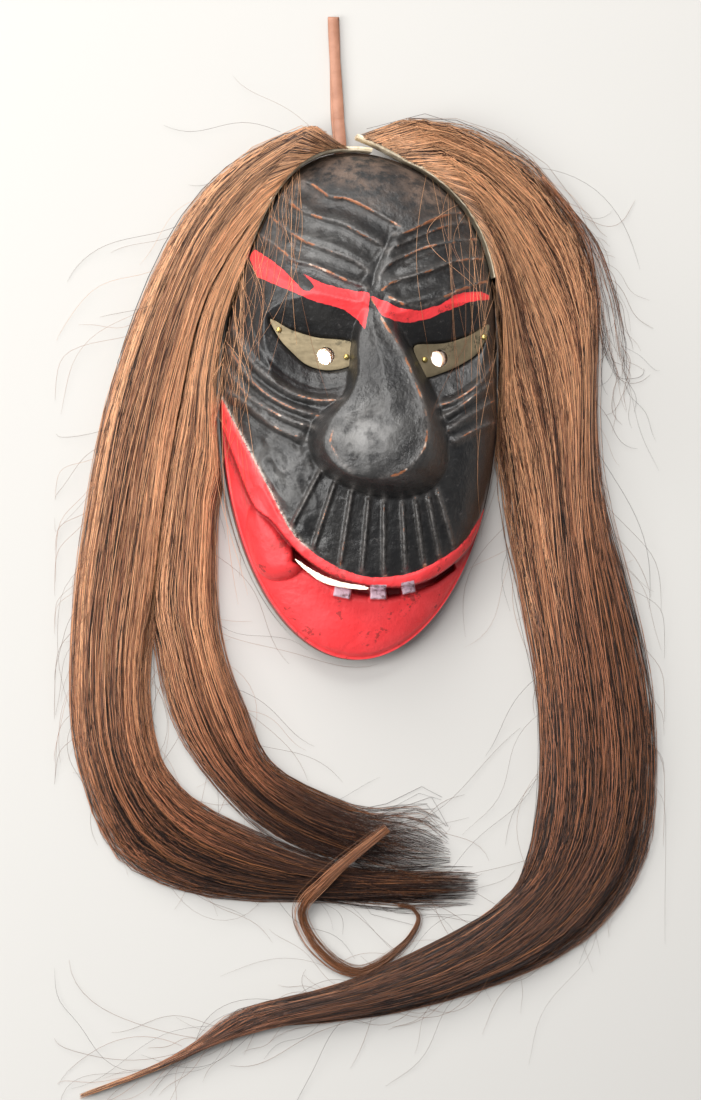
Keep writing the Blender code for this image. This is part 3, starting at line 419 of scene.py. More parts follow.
def gap_inside(x, y, outline):
    """Distance to a closed outline, positive inside it and negative outside."""
    closed = np.vstack([outline, outline[:1]])
    inside = np.zeros(x.shape, bool)
    for (ax, ay), (bx, by) in zip(closed[:-1], closed[1:]):
        crosses = (ay > y) != (by > y)
        level = (by - ay) if by != ay else 1e-12
        inside ^= crosses & (x < (bx - ax) * (y - ay) / level + ax)
    distance = nearest_on_path(x, y, closed)[0]
    return np.where(inside, distance, -distance)


def soft_noise(x, y, size, seed):
    """Smooth random hills from -1 to 1 over the drawing, size across."""
    lattice = np.random.default_rng(seed).uniform(-1, 1, (128, 128))
    u, v = np.asarray(x) / size + 64.5, np.asarray(y) / size + 64.5
    i, j = np.floor(u).astype(int), np.floor(v).astype(int)
    a, b = u - i, v - j
    a, b = a * a * (3 - 2 * a), b * b * (3 - 2 * b)
    i, j = i % 127, j % 127
    low = lattice[i, j] * (1 - a) + lattice[i + 1, j] * a
    high = lattice[i, j + 1] * (1 - a) + lattice[i + 1, j + 1] * a
    return low * (1 - b) + high * b


def middle_of(y):
    """How far the face's middle line wanders from the drawing's own, at height y."""
    up, down = np.maximum(y, 0) / DRAWN_TOP, np.maximum(-y, 0) / DRAWN_BOTTOM
    return SWAY_RIGHT * up**2 - SWAY_LEFT * up**4 - SWAY_LOW * down**2 - 1.0


def half_width_at(y):
    """Half of the face's width if its outline ran straight, wider towards the forehead's shoulders."""
    return DRAWN_HALF_WIDTH * (1 + SHOULDER_FULLNESS * (np.maximum(y, 0) / DRAWN_TOP) ** 2)


def reach_of(y):
    """The face's half height on the side of y, top or bottom."""
    return np.where(np.asarray(y) > 0, DRAWN_TOP, DRAWN_BOTTOM)


def place_in_outline(p, q):
    """The drawing's place for a point of the unit disc."""
    y = q * reach_of(q)
    return middle_of(y) + p * half_width_at(y), y


def radius_in_outline(x, y):
    """0 at the middle of the face and 1 on its outline."""
    return np.hypot((x - middle_of(y)) / half_width_at(y), y / reach_of(y))


def beside_outline(degrees, away):
    """Places beside the face's outline, away outward from it, for angles from +X."""
    a = np.radians(np.asarray(degrees, float))
    x, y = place_in_outline(np.cos(a), np.sin(a))
    step = math.radians(0.1)
    next_x, next_y = place_in_outline(np.cos(a + step), np.sin(a + step))
    last_x, last_y = place_in_outline(np.cos(a - step), np.sin(a - step))
    out_x, out_y = next_y - last_y, last_x - next_x
    size = np.hypot(out_x, out_y)
    return x + away * out_x / size, y + away * out_y / size


def disc_cells(columns, rows):
    """A grid of places that fills the unit disc evenly."""
    a, b = np.meshgrid(np.linspace(-1, 1, columns + 1), np.linspace(-1, 1, rows + 1), indexing="ij")
    p, q = a * np.sqrt(1 - b * b / 2), b * np.sqrt(1 - a * a / 2)
    radius = np.hypot(p, q)
    packed = 1 - (1 - np.minimum(radius, 1)) ** 1.12
    scale = packed / np.maximum(radius, 1e-9)
    return p * scale, q * scale


# The carving, as heights over the drawing.

def add_edges(height, x, y, paths, reach, rise, sharpness=1.6):
    """Raises a sharp edge along each path, fading at both of its ends."""
    for path in paths:
        distance, share, _ = nearest_on_path(x, y, curve_through(path))
        ends = smooth_step(0.0, 0.12, share) * smooth_step(1.0, 0.9, share)
        height = height + rise * ends * np.clip(1 - distance / reach, 0, 1) ** sharpness
    return height


def add_flutes(height, x, y, paths):
    """Below each path, a gouge cut that drops at a sharp edge and comes up again."""
    for path in paths:
        distance, share, side = nearest_on_path(x, y, curve_through(path))
        ends = smooth_step(0.0, 0.15, share) * smooth_step(1.0, 0.93, share)
        below = np.where(side < 0, distance, 0)
        share_below = np.clip(below / FLUTE_WIDTH, 0, 1)
        scoop = np.sqrt(share_below) * (1 - share_below)
        edge = np.clip(1 - distance / 2.5, 0, 1) ** 1.5
        height = height + ends * (FLUTE_EDGE * edge - FLUTE_DEPTH * scoop)
    return height


def socket_height(x, y, eye):
    """The flat that one eye's plate lies on."""
    _, (hole_x, _), level, slope, _ = eye
    return level + slope * (x - hole_x)


def carve_sockets(height, x, y):
    """Cuts both eye sockets under the brows, down to the plates."""
    for eye in EYES.values():
        gap = gap_inside(x, y, curve_through(eye[0], 3, closed=True))
        centre_y = eye[1][1]
        above = smooth_step(-4, 9, y - centre_y - 0.4 * np.abs(x - eye[1][0]))
        slope = LID_SLOPE + (BROW_SLOPE - LID_SLOPE) * above
        flat = socket_height(x, y, eye)
        bowl = flat + EYE_STEP * smooth_step(0.5, -0.6, gap) - slope * np.minimum(gap, 0)
        height = np.minimum(height, bowl)
    return height


def nose_height(height, x, y):
    """Sets the bent nose on the face, with a flat top between sharp edges."""
    # The ridge's height falls off to the left, and its sides climb between the two outlines.
    top = gap_inside(x, y, curve_through(NOSE_TOP, 3, closed=True))
    foot = gap_inside(x, y, curve_through(NOSE_FOOT, 3, closed=True))
    levels = curve_through(NOSE_RIDGE)[::-1]
    ridge = np.interp(y, levels[:, 0], levels[:, 1])
    right_edge = np.interp(y, [-55, -27, -3, 27, 54], [20, 33, 33, 21, 5])
    ridge = ridge - NOSE_TILT * np.clip(right_edge - x, 0, 60) + 4.0 * smooth_step(0, 20, top)
    climb = np.clip(foot / np.maximum(foot - np.minimum(top, 0), 1e-6), 0, 1)
    ridge = ridge - 0.8 * np.abs(soft_noise(x + 0.5 * y, y - 0.5 * x, 13.0, 13))
    left = smooth_step(10, -12, x)
    climb = climb * (1 + (0.55 - 0.25 * left) * (1 - climb))
    raised = height + (ridge - height) * np.clip(climb, 0, 1)
    return np.where(foot > 0, np.maximum(raised, height), height)


def area_below(edge):
    """Closed outline of all that lies below an edge, which runs from left to right."""
    right, left = (FAR_ASIDE, edge[-1][1]), (-FAR_ASIDE, edge[0][1])
    corners = (right, (FAR_ASIDE, FAR_BELOW), (-FAR_ASIDE, FAR_BELOW), left)
    return np.vstack([curve_through(edge), corners])


def fine_relief(height, x, y):
    """Small gouge marks, scored lines and the rolled edge of the upper lip."""
    height = add_edges(height, x, y, SCORED_LINES, 2.2, -1.1, 1.2)
    cheek = smooth_step(-14, -22, y + 0.25 * x) * smooth_step(-14, -28, x)
    height = height - cheek * 1.9 * np.abs(soft_noise(x + 0.5 * y, 0.5 * y - 0.3 * x, 6.5, 5))
    height = height - 0.42 * np.abs(soft_noise(x, y, 8.0, 7)) + 0.35 * soft_noise(x, y, 15.0, 9)
    below = gap_inside(x, y, area_below(RED_MOUTH))
    bead = np.clip(1 - ((below - 3.2) / 3.6) ** 2, 0, 1) * 1.2
    return height + bead - 0.7 * np.exp(-(below / 0.7) ** 2)


def upper_height(x, y, radius):
    """The face down to the upper lip."""
    boxy = smooth_step(-0.3, 0.9, (x - middle_of(y)) / DRAWN_HALF_WIDTH)
    height = EDGE_HEIGHT + 51.0 * (1 - radius ** (2.3 + 1.7 * boxy)) ** (0.58 - 0.06 * boxy)
    for brow in BROWS:
        distance, share, _ = nearest_on_path(x, y, curve_through(brow))
        height = height + 5.0 * np.clip(1 - distance / 20, 0, 1) ** 1.3 * smooth_step(0, 0.1, share)
    height = add_flutes(height, x, y, FOREHEAD_LEFT)
    height = add_flutes(height, x, y, FOREHEAD_RIGHT)
    height = add_edges(height, x, y, (FOREHEAD_CREASE,), 4.0, -2.2)
    height = carve_sockets(height, x, y)
    height = add_edges(height, x, y, CHEEK_LEFT, 4.2, 3.4, 1.3)
    height = add_edges(height, x, y, CHEEK_RIGHT, 4.0, 3.2, 1.3)
    height = add_edges(height, x, y, (CHEEK_GROOVE,), 4.5, -3.0, 1.2)
    height = add_edges(height, x, y, RIBS, 1.6, 3.4, 0.8)
    return nose_height(fine_relief(height, x, y), x, y)


def jaw_height(x, y, radius):
    """The lower lip and chin, with the tongue and the edge of the mouth."""
    height = EDGE_HEIGHT - 2 + 30.0 * (1 - radius**2.6) ** 0.62
    edge = nearest_on_path(x, y, curve_through(JAW_EDGE))[0]
    height = height - 3.0 * np.clip(1 - edge / 4, 0, 1) ** 1.5
    tongue = gap_inside(x, y, curve_through(TONGUE, 3, closed=True))
    pillow = np.sqrt(np.clip(1 - (1 - np.clip(tongue, 0, 9) / 9) ** 2, 0, 1))
    return height + 11.5 * pillow + 0.25 * soft_noise(x, y, 9.0, 11)


def tooth_edge(x, y, tooth):
    """Distance outside one tooth's block, and the place along its height."""
    (middle_x, middle_y), width, tall, turn = tooth
    c, s = math.cos(math.radians(turn)), math.sin(math.radians(turn))
    across = np.abs((x - middle_x) * c + (y - middle_y) * s) - width / 2
    along = (y - middle_y) * c - (x - middle_x) * s
    return np.maximum(across, np.abs(along) - tall / 2), along


def mouth_height(height, x, y):
    """Sinks the mouth between the lips and stands the teeth in it."""
    upper = curve_through(LIP_EDGE)
    upper = upper[(upper[:, 0] > -39) & (upper[:, 0] < 53)]
    mouth = np.vstack([upper, curve_through(JAW_EDGE)[::-1]])
    sunk = smooth_step(-0.6, 0.8, gap_inside(x, y, mouth))
    floor = cavity_height(x, y) + 5.0 + 7.0 * smooth_step(6, 34, x)
    height = height + (floor - height) * sunk
    for tooth in TEETH:
        outside, along = tooth_edge(x, y, tooth)
        front = 39.0 - 1.2 * np.clip(along, 0, 9)
        height = height + np.maximum(front - height, 0) * smooth_step(0.5, -0.5, outside)
    return height


def cavity_height(x, y):
    """The hollow behind the face."""
    across = (x - middle_of(y)) / (half_width_at(y) - RIM_WIDTH)
    along = y / (reach_of(y) - RIM_WIDTH)
    return CAVITY_DEPTH * np.sqrt(np.clip(1 - across**2 - along**2, 0, 1))


def carved_height(x, y):
    """Height of the carved front over every place of the drawing."""
    radius = np.minimum(radius_in_outline(x, y), 1.0)
    jaw = smooth_step(-0.7, 0.7, gap_inside(x, y, area_below(LIP_EDGE)))
    height = upper_height(x, y, radius) * (1 - jaw) + jaw_height(x, y, radius) * jaw
    height = mouth_height(height, x, y)
    return EDGE_HEIGHT + (height - EDGE_HEIGHT) * smooth_step(1.0, 0.975, radius)


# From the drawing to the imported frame.

def drawn_box():
    """Lowest and highest places of the face's outline in the drawing."""
    turn = np.linspace(0, 2 * math.pi, 721)
    x, y = place_in_outline(np.cos(turn), np.sin(turn))
    return np.array((x.min(), y.min())), np.array((x.max(), y.max()))


def set_in_frame():
    """Metres per drawing millimetre along each axis, and where the drawing's zero lies."""
    low, high = (np.array(corner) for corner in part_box("mask"))
    drawn_low, drawn_high = drawn_box()
    stretch = np.append((high - low)[:2] / (drawn_high - drawn_low), MM)
    zero = np.append(low[:2] - drawn_low * stretch[:2], low[2])
    return stretch, zero


STRETCH, ZERO = set_in_frame()


def to_real(x, y, z, leans=True):
    """The place in the frame, in metres, of a place of the drawing and its height."""
    x, y, z = (np.asarray(value, float) for value in (x, y, z))
    over = np.maximum(z - EDGE_HEIGHT, 0) if leans else 0 * z
    leaned = np.stack(np.broadcast_arrays(x - LEAN_ACROSS * over, y - LEAN_UP * over, z), axis=-1)
    return leaned * STRETCH + ZERO


def from_real(points):
    """The drawing's places and heights for points of the carved face."""
    drawn = (points - ZERO) / STRETCH
    over = np.maximum(drawn[:, 2] - EDGE_HEIGHT, 0)
    return drawn[:, 0] + LEAN_ACROSS * over, drawn[:, 1] + LEAN_UP * over, drawn[:, 2]


# Meshes.

def new_piece(name, points, faces, material, replaced=()):
    """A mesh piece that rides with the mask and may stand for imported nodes."""
    mesh = bpy.data.meshes.new(name)
    mesh.from_pydata(np.asarray(points), [], faces)
    mesh.update()
    mesh.shade_smooth()
    piece = bpy.data.objects.new(name, mesh)
    bpy.context.scene.collection.objects.link(piece)
    mesh.materials.append(material)
    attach(piece, "root")
    if replaced:
        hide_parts(*replaced)
    return piece


def face_outward(mesh):
    """Turns every face of a closed mesh outward."""
    shape = bmesh.new()
    shape.from_mesh(mesh)
    bmesh.ops.recalc_face_normals(shape, faces=shape.faces)
    if shape.calc_volume(signed=True) < 0:
        bmesh.ops.reverse_faces(shape, faces=shape.faces)
    shape.to_mesh(mesh)
    shape.free()


def store(mesh, name, values):
    """Keeps one number per vertex for a material to read."""
    layer = mesh.attributes.new(name, "FLOAT", "POINT")
    layer.data.foreach_set("value", np.asarray(values, np.float32))


def grid_faces(rows, columns, first=0):
    """Four-sided faces over a grid of points stored row by row."""
    r, c = np.meshgrid(np.arange(rows - 1), np.arange(columns - 1), indexing="ij")
    a = (first + r * columns + c).ravel()
    return np.stack([a, a + columns, a + columns + 1, a + 1], axis=1)


def ring_of(rows, columns):
    """Numbers of a grid's border points, in order round it."""
    index = np.arange(rows * columns).reshape(rows, columns)
    return np.concatenate([index[:-1, 0], index[-1, :-1], index[:0:-1, -1], index[0, :0:-1]])


def band_faces(inner, outer):
    """Faces between two rings of as many points."""
    return np.stack([inner, np.roll(inner, -1), np.roll(outer, -1), outer], axis=1)


def ring_faces(rows, sides):
    """Faces of a closed body made of rings of points, capped at both ends."""
    index = np.arange(rows * sides).reshape(rows, sides)
    faces = [f for k in range(rows - 1) for f in band_faces(index[k], index[k + 1]).tolist()]
    return faces + [index[0].tolist(), index[-1].tolist()]


def tube_mesh(paths, radii, sides=3):
    """Points and faces of thin tubes along many paths of as many points each."""
    count, steps = paths.shape[:2]
    ahead = np.gradient(paths, axis=1)
    ahead /= np.maximum(np.linalg.norm(ahead, axis=2, keepdims=True), 1e-9)
    side = np.cross(ahead, np.array((0.0, 0.0, 1.0)))
    side /= np.maximum(np.linalg.norm(side, axis=2, keepdims=True), 1e-9)
    up = np.cross(side, ahead)
    turn = math.pi / 2 + 2 * math.pi * np.arange(sides) / sides
    ring = side[:, :, None] * np.cos(turn)[None, None, :, None]
    ring = ring + up[:, :, None] * np.sin(turn)[None, None, :, None]
    points = paths[:, :, None] + ring * radii[:, :, None, None]
    index = np.arange(count * steps * sides).reshape(count, steps, sides)
    near, far = index[:, :-1], index[:, 1:]
    walls = np.stack(
        [near, np.roll(near, -1, axis=2), np.roll(far, -1, axis=2), far], axis=-1
    ).reshape(-1, 4)
    caps = np.concatenate([index[:, 0, ::-1], index[:, -1]])
    return points.reshape(-1, 3), walls.tolist() + caps.tolist()


# Shader node helpers and shared effects.

def feed(tree, socket, value):
    """Joins another node's output to a socket, or sets the socket's own value."""
    if isinstance(value, bpy.types.NodeSocket):
        tree.links.new(value, socket)
    else:
        socket.default_value = value


def add_node(tree, kind, inputs=(), **settings):
    """Adds a node with its settings and its inputs, each a value or another node's output."""
    node = tree.nodes.new(kind)
    for key, value in settings.items():
        setattr(node, key, value)
    for key, value in dict(inputs).items():
        feed(tree, node.inputs[key], value)
    return node


def maths(tree, operation, first, second):
    """One arithmetic step."""
    return add_node(tree, "ShaderNodeMath", {0: first, 1: second}, operation=operation).outputs[0]


def times(tree, first, second):
    """The product of two values."""
    return maths(tree, "MULTIPLY", first, second)


def blend_colours(tree, share, below, above, kind="MIX"):
    """Mixes two colours by a share."""
    node = add_node(tree, "ShaderNodeMix", data_type="RGBA", blend_type=kind)
    for key, value in ((0, share), (6, below), (7, above)):
        feed(tree, node.inputs[key], value)
    return node.outputs[2]


def read_number(tree, name):
    """A number kept on the mesh's vertices."""
    return add_node(tree, "ShaderNodeAttribute", attribute_name=name).outputs["Fac"]


def object_place(tree):
    """Where a point lies on its piece."""
    return add_node(tree, "ShaderNodeTexCoord").outputs["Object"]


def noise_at(tree, scale, detail=4.0, roughness=0.55, place=None, stretch=None):
    """A cloudy pattern from 0 to 1."""
    place = place or object_place(tree)
    if stretch:
        place = add_node(tree, "ShaderNodeMapping", {"Vector": place, "Scale": stretch}).outputs[0]
    inputs = {"Vector": place, "Scale": scale, "Detail": detail, "Roughness": roughness}
    return add_node(tree, "ShaderNodeTexNoise", inputs).outputs["Fac"]


def ramp(tree, value, low, high, from_low=0.0, to_high=1.0):
    """Turns a value between low and high into a smooth share."""
    inputs = {0: value, 1: low, 2: high, 3: from_low, 4: to_high}
    return add_node(tree, "ShaderNodeMapRange", inputs, interpolation_type="SMOOTHSTEP").outputs[0]


def start_group(name, inputs, outputs):
    """An empty shader node group with named sockets."""
    tree = bpy.data.node_groups.new(name, "ShaderNodeTree")
    for socket, kind, value in inputs:
        made = tree.interface.new_socket(socket, in_out="INPUT", socket_type=kind)
        made.default_value = value
    for socket, kind in outputs:
        tree.interface.new_socket(socket, in_out="OUTPUT", socket_type=kind)
    return tree, tree.nodes.new("NodeGroupInput"), tree.nodes.new("NodeGroupOutput")


def ragged_edge_group():
    """A brushed or chipped edge: a mask from a distance that a pattern disturbs."""
    tree, given, out = start_group(
        "Ragged edge",
        [("Distance", "NodeSocketFloat", 0.0), ("Raggedness", "NodeSocketFloat", 0.6),
         ("Softness", "NodeSocketFloat", 0.25), ("Scale", "NodeSocketFloat", 400.0)],
        [("Mask", "NodeSocketFloat")],
    )
    pattern = add_node(
        tree, "ShaderNodeTexNoise",
        {"Vector": object_place(tree), "Scale": given.outputs["Scale"], "Detail": 3.0},
    ).outputs["Fac"]
    shift = times(tree, maths(tree, "SUBTRACT", pattern, 0.5), given.outputs["Raggedness"])
    moved = maths(tree, "ADD", given.outputs["Distance"], times(tree, shift, 2.0))
    soft = maths(tree, "DIVIDE", moved, given.outputs["Softness"])
    tree.links.new(ramp(tree, soft, -1.0, 1.0), out.inputs["Mask"])
    return tree


def scuff_group():
    """Scattered spots and scrapes."""
    tree, given, out = start_group(
        "Scuffs",
        [("Scale", "NodeSocketFloat", 120.0), ("Amount", "NodeSocketFloat", 0.3)],
        [("Mask", "NodeSocketFloat")],
    )
    place = object_place(tree)
    big = add_node(
        tree, "ShaderNodeTexNoise",
        {"Vector": place, "Scale": times(tree, given.outputs["Scale"], 0.22), "Detail": 2.0},
    ).outputs["Fac"]
    small = add_node(
        tree, "ShaderNodeTexNoise",
        {"Vector": place, "Scale": given.outputs["Scale"], "Detail": 5.0, "Roughness": 0.7},
    ).outputs["Fac"]
    both = times(tree, big, small)
    level = maths(tree, "SUBTRACT", 0.45, times(tree, given.outputs["Amount"], 0.3))
    found = times(tree, maths(tree, "SUBTRACT", both, level), 18.0)
    tree.links.new(ramp(tree, found, 0.0, 1.0), out.inputs["Mask"])
    return tree


def grain_group():
    """Fine relief of hand-finished wood, hide or leather."""
    tree, given, out = start_group(
        "Fine grain",
        [("Scale", "NodeSocketFloat", 900.0), ("Stretch", "NodeSocketVector", (1.0, 1.0, 1.0)),
         ("Strength", "NodeSocketFloat", 0.2), ("Height", "NodeSocketFloat", 0.0)],
        [("Pattern", "NodeSocketFloat"), ("Normal", "NodeSocketVector")],
    )
    place = add_node(
        tree, "ShaderNodeMapping", {"Vector": object_place(tree), "Scale": given.outputs["Stretch"]}
    ).outputs[0]
    pattern = add_node(
        tree, "ShaderNodeTexNoise",
        {"Vector": place, "Scale": given.outputs["Scale"], "Detail": 6.0, "Roughness": 0.65},
    ).outputs["Fac"]
    height = maths(tree, "ADD", pattern, given.outputs["Height"])
    bump = add_node(
        tree, "ShaderNodeBump",
        {"Strength": given.outputs["Strength"], "Distance": 0.0004, "Height": height},
    ).outputs[0]
    tree.links.new(pattern, out.inputs["Pattern"])
    tree.links.new(bump, out.inputs["Normal"])
    return tree


def shared(name, build):
    """A shared effect, built the first time that it is asked for."""
    return bpy.data.node_groups.get(name) or build()


def place_group(tree, name, build, inputs):
    """Places a shared effect in a material with its own values."""
    node = add_node(tree, "ShaderNodeGroup", node_tree=shared(name, build))
    for key, value in inputs.items():
        feed(tree, node.inputs[key], value)
    return node


def ragged(tree, distance, raggedness, softness, scale):
    """Mask of a brushed or chipped edge."""
    inputs = {"Distance": distance, "Raggedness": raggedness, "Softness": softness, "Scale": scale}
    return place_group(tree, "Ragged edge", ragged_edge_group, inputs).outputs["Mask"]


def scuffed(tree, scale, amount):
    """Mask of scattered spots and scrapes."""
    return place_group(tree, "Scuffs", scuff_group, {"Scale": scale, "Amount": amount}).outputs["Mask"]


def grained(tree, scale, strength, **more):
    """The node of the fine relief, for its normal and its pattern."""
    return place_group(tree, "Fine grain", grain_group, {"Scale": scale, "Strength": strength, **more})


def start_material(name):
    """An empty material with its shader."""
    material = bpy.data.materials.new(name)
    material.use_nodes = True
    tree = material.node_tree
    return material, tree, tree.nodes["Principled BSDF"]


def plug(tree, shader, **inputs):
    """Joins outputs or sets values on the shader's sockets."""
    for key, value in inputs.items():
        feed(tree, shader.inputs[key.replace("_", " ")], value)


# Materials.

def black_paint(tree, settings, cloud, fine):
    """Satin black, greyer where it is rubbed, with rubbed paint and a painted highlight on places that hands
    rub and along the crests, and browner at the top of the forehead.
    """
    black = blend_colours(tree, ramp(tree, cloud, 0.35, 0.7), (*settings.black_paint, 1), BLACK_CLOUD)
    rubbed = times(tree, ramp(tree, fine, 0.54, 0.74), 0.38)
    black = blend_colours(tree, rubbed, black, BLACK_RUBBED)
    # Grey along the crests: rubbed paint and a painted edge highlight.
    edges = times(tree, read_number(tree, "edges"), ramp(tree, fine, 0.30, 0.60))
    black = blend_colours(tree, times(tree, edges, 0.75), black, BLACK_CREST_HIGHLIGHT)
    spots = ramp(tree, noise_at(tree, 150.0, 6.0, 0.7), 0.36, 0.6)
    mottled = times(tree, ramp(tree, cloud, 0.25, 0.6), spots)
    patches = ramp(tree, noise_at(tree, 110.0, 5.0, 0.6), 0.32, 0.62)
    # Grey on places that hands rub: rubbed paint and a painted highlight.
    handled = times(tree, read_number(tree, "handled"), patches)
    black = blend_colours(tree, times(tree, handled, 0.7), black, BLACK_RUBBED_HIGHLIGHT)
    brown_top = times(tree, read_number(tree, "top"), mottled)
    return blend_colours(tree, times(tree, brown_top, 0.85), black, BLACK_BROWNED)


def red_paint(tree, settings, fine):
    """Bright red with scuffs, and painted shade that darkens it under the lip and low in the mouth."""
    cloud = ramp(tree, noise_at(tree, 46.0, 4.0), 0.3, 0.75)
    red = blend_colours(tree, cloud, (*settings.red_paint, 1), RED_CLOUD)
    specks = times(tree, ramp(tree, fine, 0.56, 0.7), 0.3)
    red = blend_colours(tree, specks, red, RED_SPECK)
    # Painted shade: darker red under the lip and low in the mouth.
    red = blend_colours(tree, read_number(tree, "deep"), red, RED_IN_SHADE)
    scuffs = scuffed(tree, 330.0, 0.44)
    return blend_colours(tree, times(tree, scuffs, 0.6), red, RED_SCUFF)


def painted_wood(settings):
    """Worn black paint with red brows and mouth, pale teeth and bare wood at the edges."""
    material, tree, shader = start_material("Painted wood")
    cloud = noise_at(tree, 28.0, 5.0)
    fine = noise_at(tree, 420.0, 6.0, 0.7)
    patchy = ramp(tree, noise_at(tree, 75.0, 3.0), 0.40, 0.62)
    colour = black_paint(tree, settings, cloud, fine)

    bare = blend_colours(tree, noise_at(tree, 160.0, 4.0), BARE_WOOD_DARK, BARE_WOOD_LIGHT)
    pale = ramp(tree, noise_at(tree, 130.0, 2.0), 0.56, 0.66)
    bare = blend_colours(tree, pale, bare, BARE_WOOD_PALE)
    worn = maths(tree, "ADD", times(tree, patchy, 0.75), 0.33)
    worn = maths(tree, "SUBTRACT", times(tree, read_number(tree, "worn"), worn), 0.60)
    worn = ragged(tree, worn, 0.30, 0.14, 380.0)
    colour = blend_colours(tree, times(tree, worn, settings.wear), colour, bare)
    dust = scuffed(tree, 700.0, 0.30)
    colour = blend_colours(tree, times(tree, dust, 0.2), colour, DUST)

    red = red_paint(tree, settings, fine)
    brows = ragged(tree, read_number(tree, "red_brow"), 0.7, 0.2, 300.0)
    mouth = ragged(tree, read_number(tree, "red_mouth"), 1.0, 0.25, 240.0)
    painted = maths(tree, "MAXIMUM", brows, mouth)
    colour = blend_colours(tree, painted, colour, red)
    chipped = times(tree, read_number(tree, "chipped"), ramp(tree, fine, 0.40, 0.52))
    colour = blend_colours(tree, chipped, colour, CHIPPED_EDGE)
    teeth = ragged(tree, read_number(tree, "tooth"), 0.4, 0.25, 500.0)
    lilac = blend_colours(tree, ramp(tree, noise_at(tree, 350.0), 0.30, 0.52), TOOTH_DARK, TOOTH_LILAC)
    colour = blend_colours(tree, teeth, colour, lilac)
    inside = read_number(tree, "inside")
    grain = noise_at(tree, 300.0, 5.0, 0.6, stretch=(1.0, 0.06, 1.0))
    back = blend_colours(tree, ramp(tree, grain, 0.3, 0.7), BACK_WOOD_DARK, BACK_WOOD_LIGHT)
    colour = blend_colours(tree, inside, colour, back)

    gloss = ramp(tree, noise_at(tree, 60.0, 5.0, 0.6), 0.3, 0.7, 0.27, 0.44)
    duller = maths(tree, "MAXIMUM", maths(tree, "MAXIMUM", painted, inside), read_number(tree, "top"))
    rough = maths(tree, "ADD", gloss, times(tree, duller, 0.18))
    dents = times(tree, noise_at(tree, 210.0, 3.0), 2.0)
    grain = grained(tree, 620.0, 0.75, Stretch=(1.0, 0.5, 1.0), Height=dents)
    plug(tree, shader, Base_Color=colour, Roughness=rough, Normal=grain.outputs["Normal"])
    shader.inputs["Specular IOR Level"].default_value = 0.55
    return material


def tarnished_sheet(settings):
    """Dull greenish sheet metal with rubbed patches."""
    material, tree, shader = start_material("Tarnished sheet")
    cloud = ramp(tree, noise_at(tree, 90.0, 5.0, 0.6), 0.3, 0.7)
    colour = blend_colours(tree, cloud, (*settings.sheet_colour, 1), SHEET_CLOUD)
    stains = scuffed(tree, 420.0, 0.42)
    colour = blend_colours(tree, times(tree, stains, 0.8), colour, SHEET_STAIN)
    grain = grained(tree, 650.0, 0.12, Stretch=(0.2, 1.0, 1.0))
    rough = ramp(tree, grain.outputs["Pattern"], 0.3, 0.7, 0.44, 0.60)
    plug(tree, shader, Base_Color=colour, Roughness=rough, Normal=grain.outputs["Normal"])
    shader.inputs["Metallic"].default_value = 0.82
    return material


def worn_brass(settings):
    """Small brass heads, clouded darker in places."""
    material, tree, shader = start_material("Worn brass")
    cloud = ramp(tree, noise_at(tree, 900.0, 3.0), 0.35, 0.65)
    colour = blend_colours(tree, cloud, BRASS_DARK, (*settings.brass_colour, 1))
    grain = grained(tree, 1500.0, 0.15)
    plug(tree, shader, Base_Color=colour, Roughness=0.36, Metallic=1.0, Normal=grain.outputs["Normal"])
    return material


def dry_hide(settings):
    """Pale rawhide with a fibrous surface."""
    material, tree, shader = start_material("Dry hide")
    cloud = ramp(tree, noise_at(tree, 240.0, 6.0, 0.65), 0.3, 0.7)
    colour = blend_colours(tree, cloud, HIDE_CLOUD, (*settings.hide_colour, 1))
    grain = grained(tree, 800.0, 0.5, Stretch=(1.0, 1.0, 0.3))
    plug(tree, shader, Base_Color=colour, Roughness=0.62, Normal=grain.outputs["Normal"])
    return material


def tan_leather(settings):
    """Smooth tan lace leather, rubbed darker along its edges."""
    material, tree, shader = start_material("Tan leather")
    cloud = ramp(tree, noise_at(tree, 130.0, 5.0), 0.3, 0.7)
    colour = blend_colours(tree, cloud, LEATHER_CLOUD, (*settings.leather_colour, 1))
    colour = blend_colours(tree, read_number(tree, "rubbed"), colour, LEATHER_RUBBED)
    grain = grained(tree, 1100.0, 0.35)
    plug(tree, shader, Base_Color=colour, Roughness=0.55, Normal=grain.outputs["Normal"])
    return material


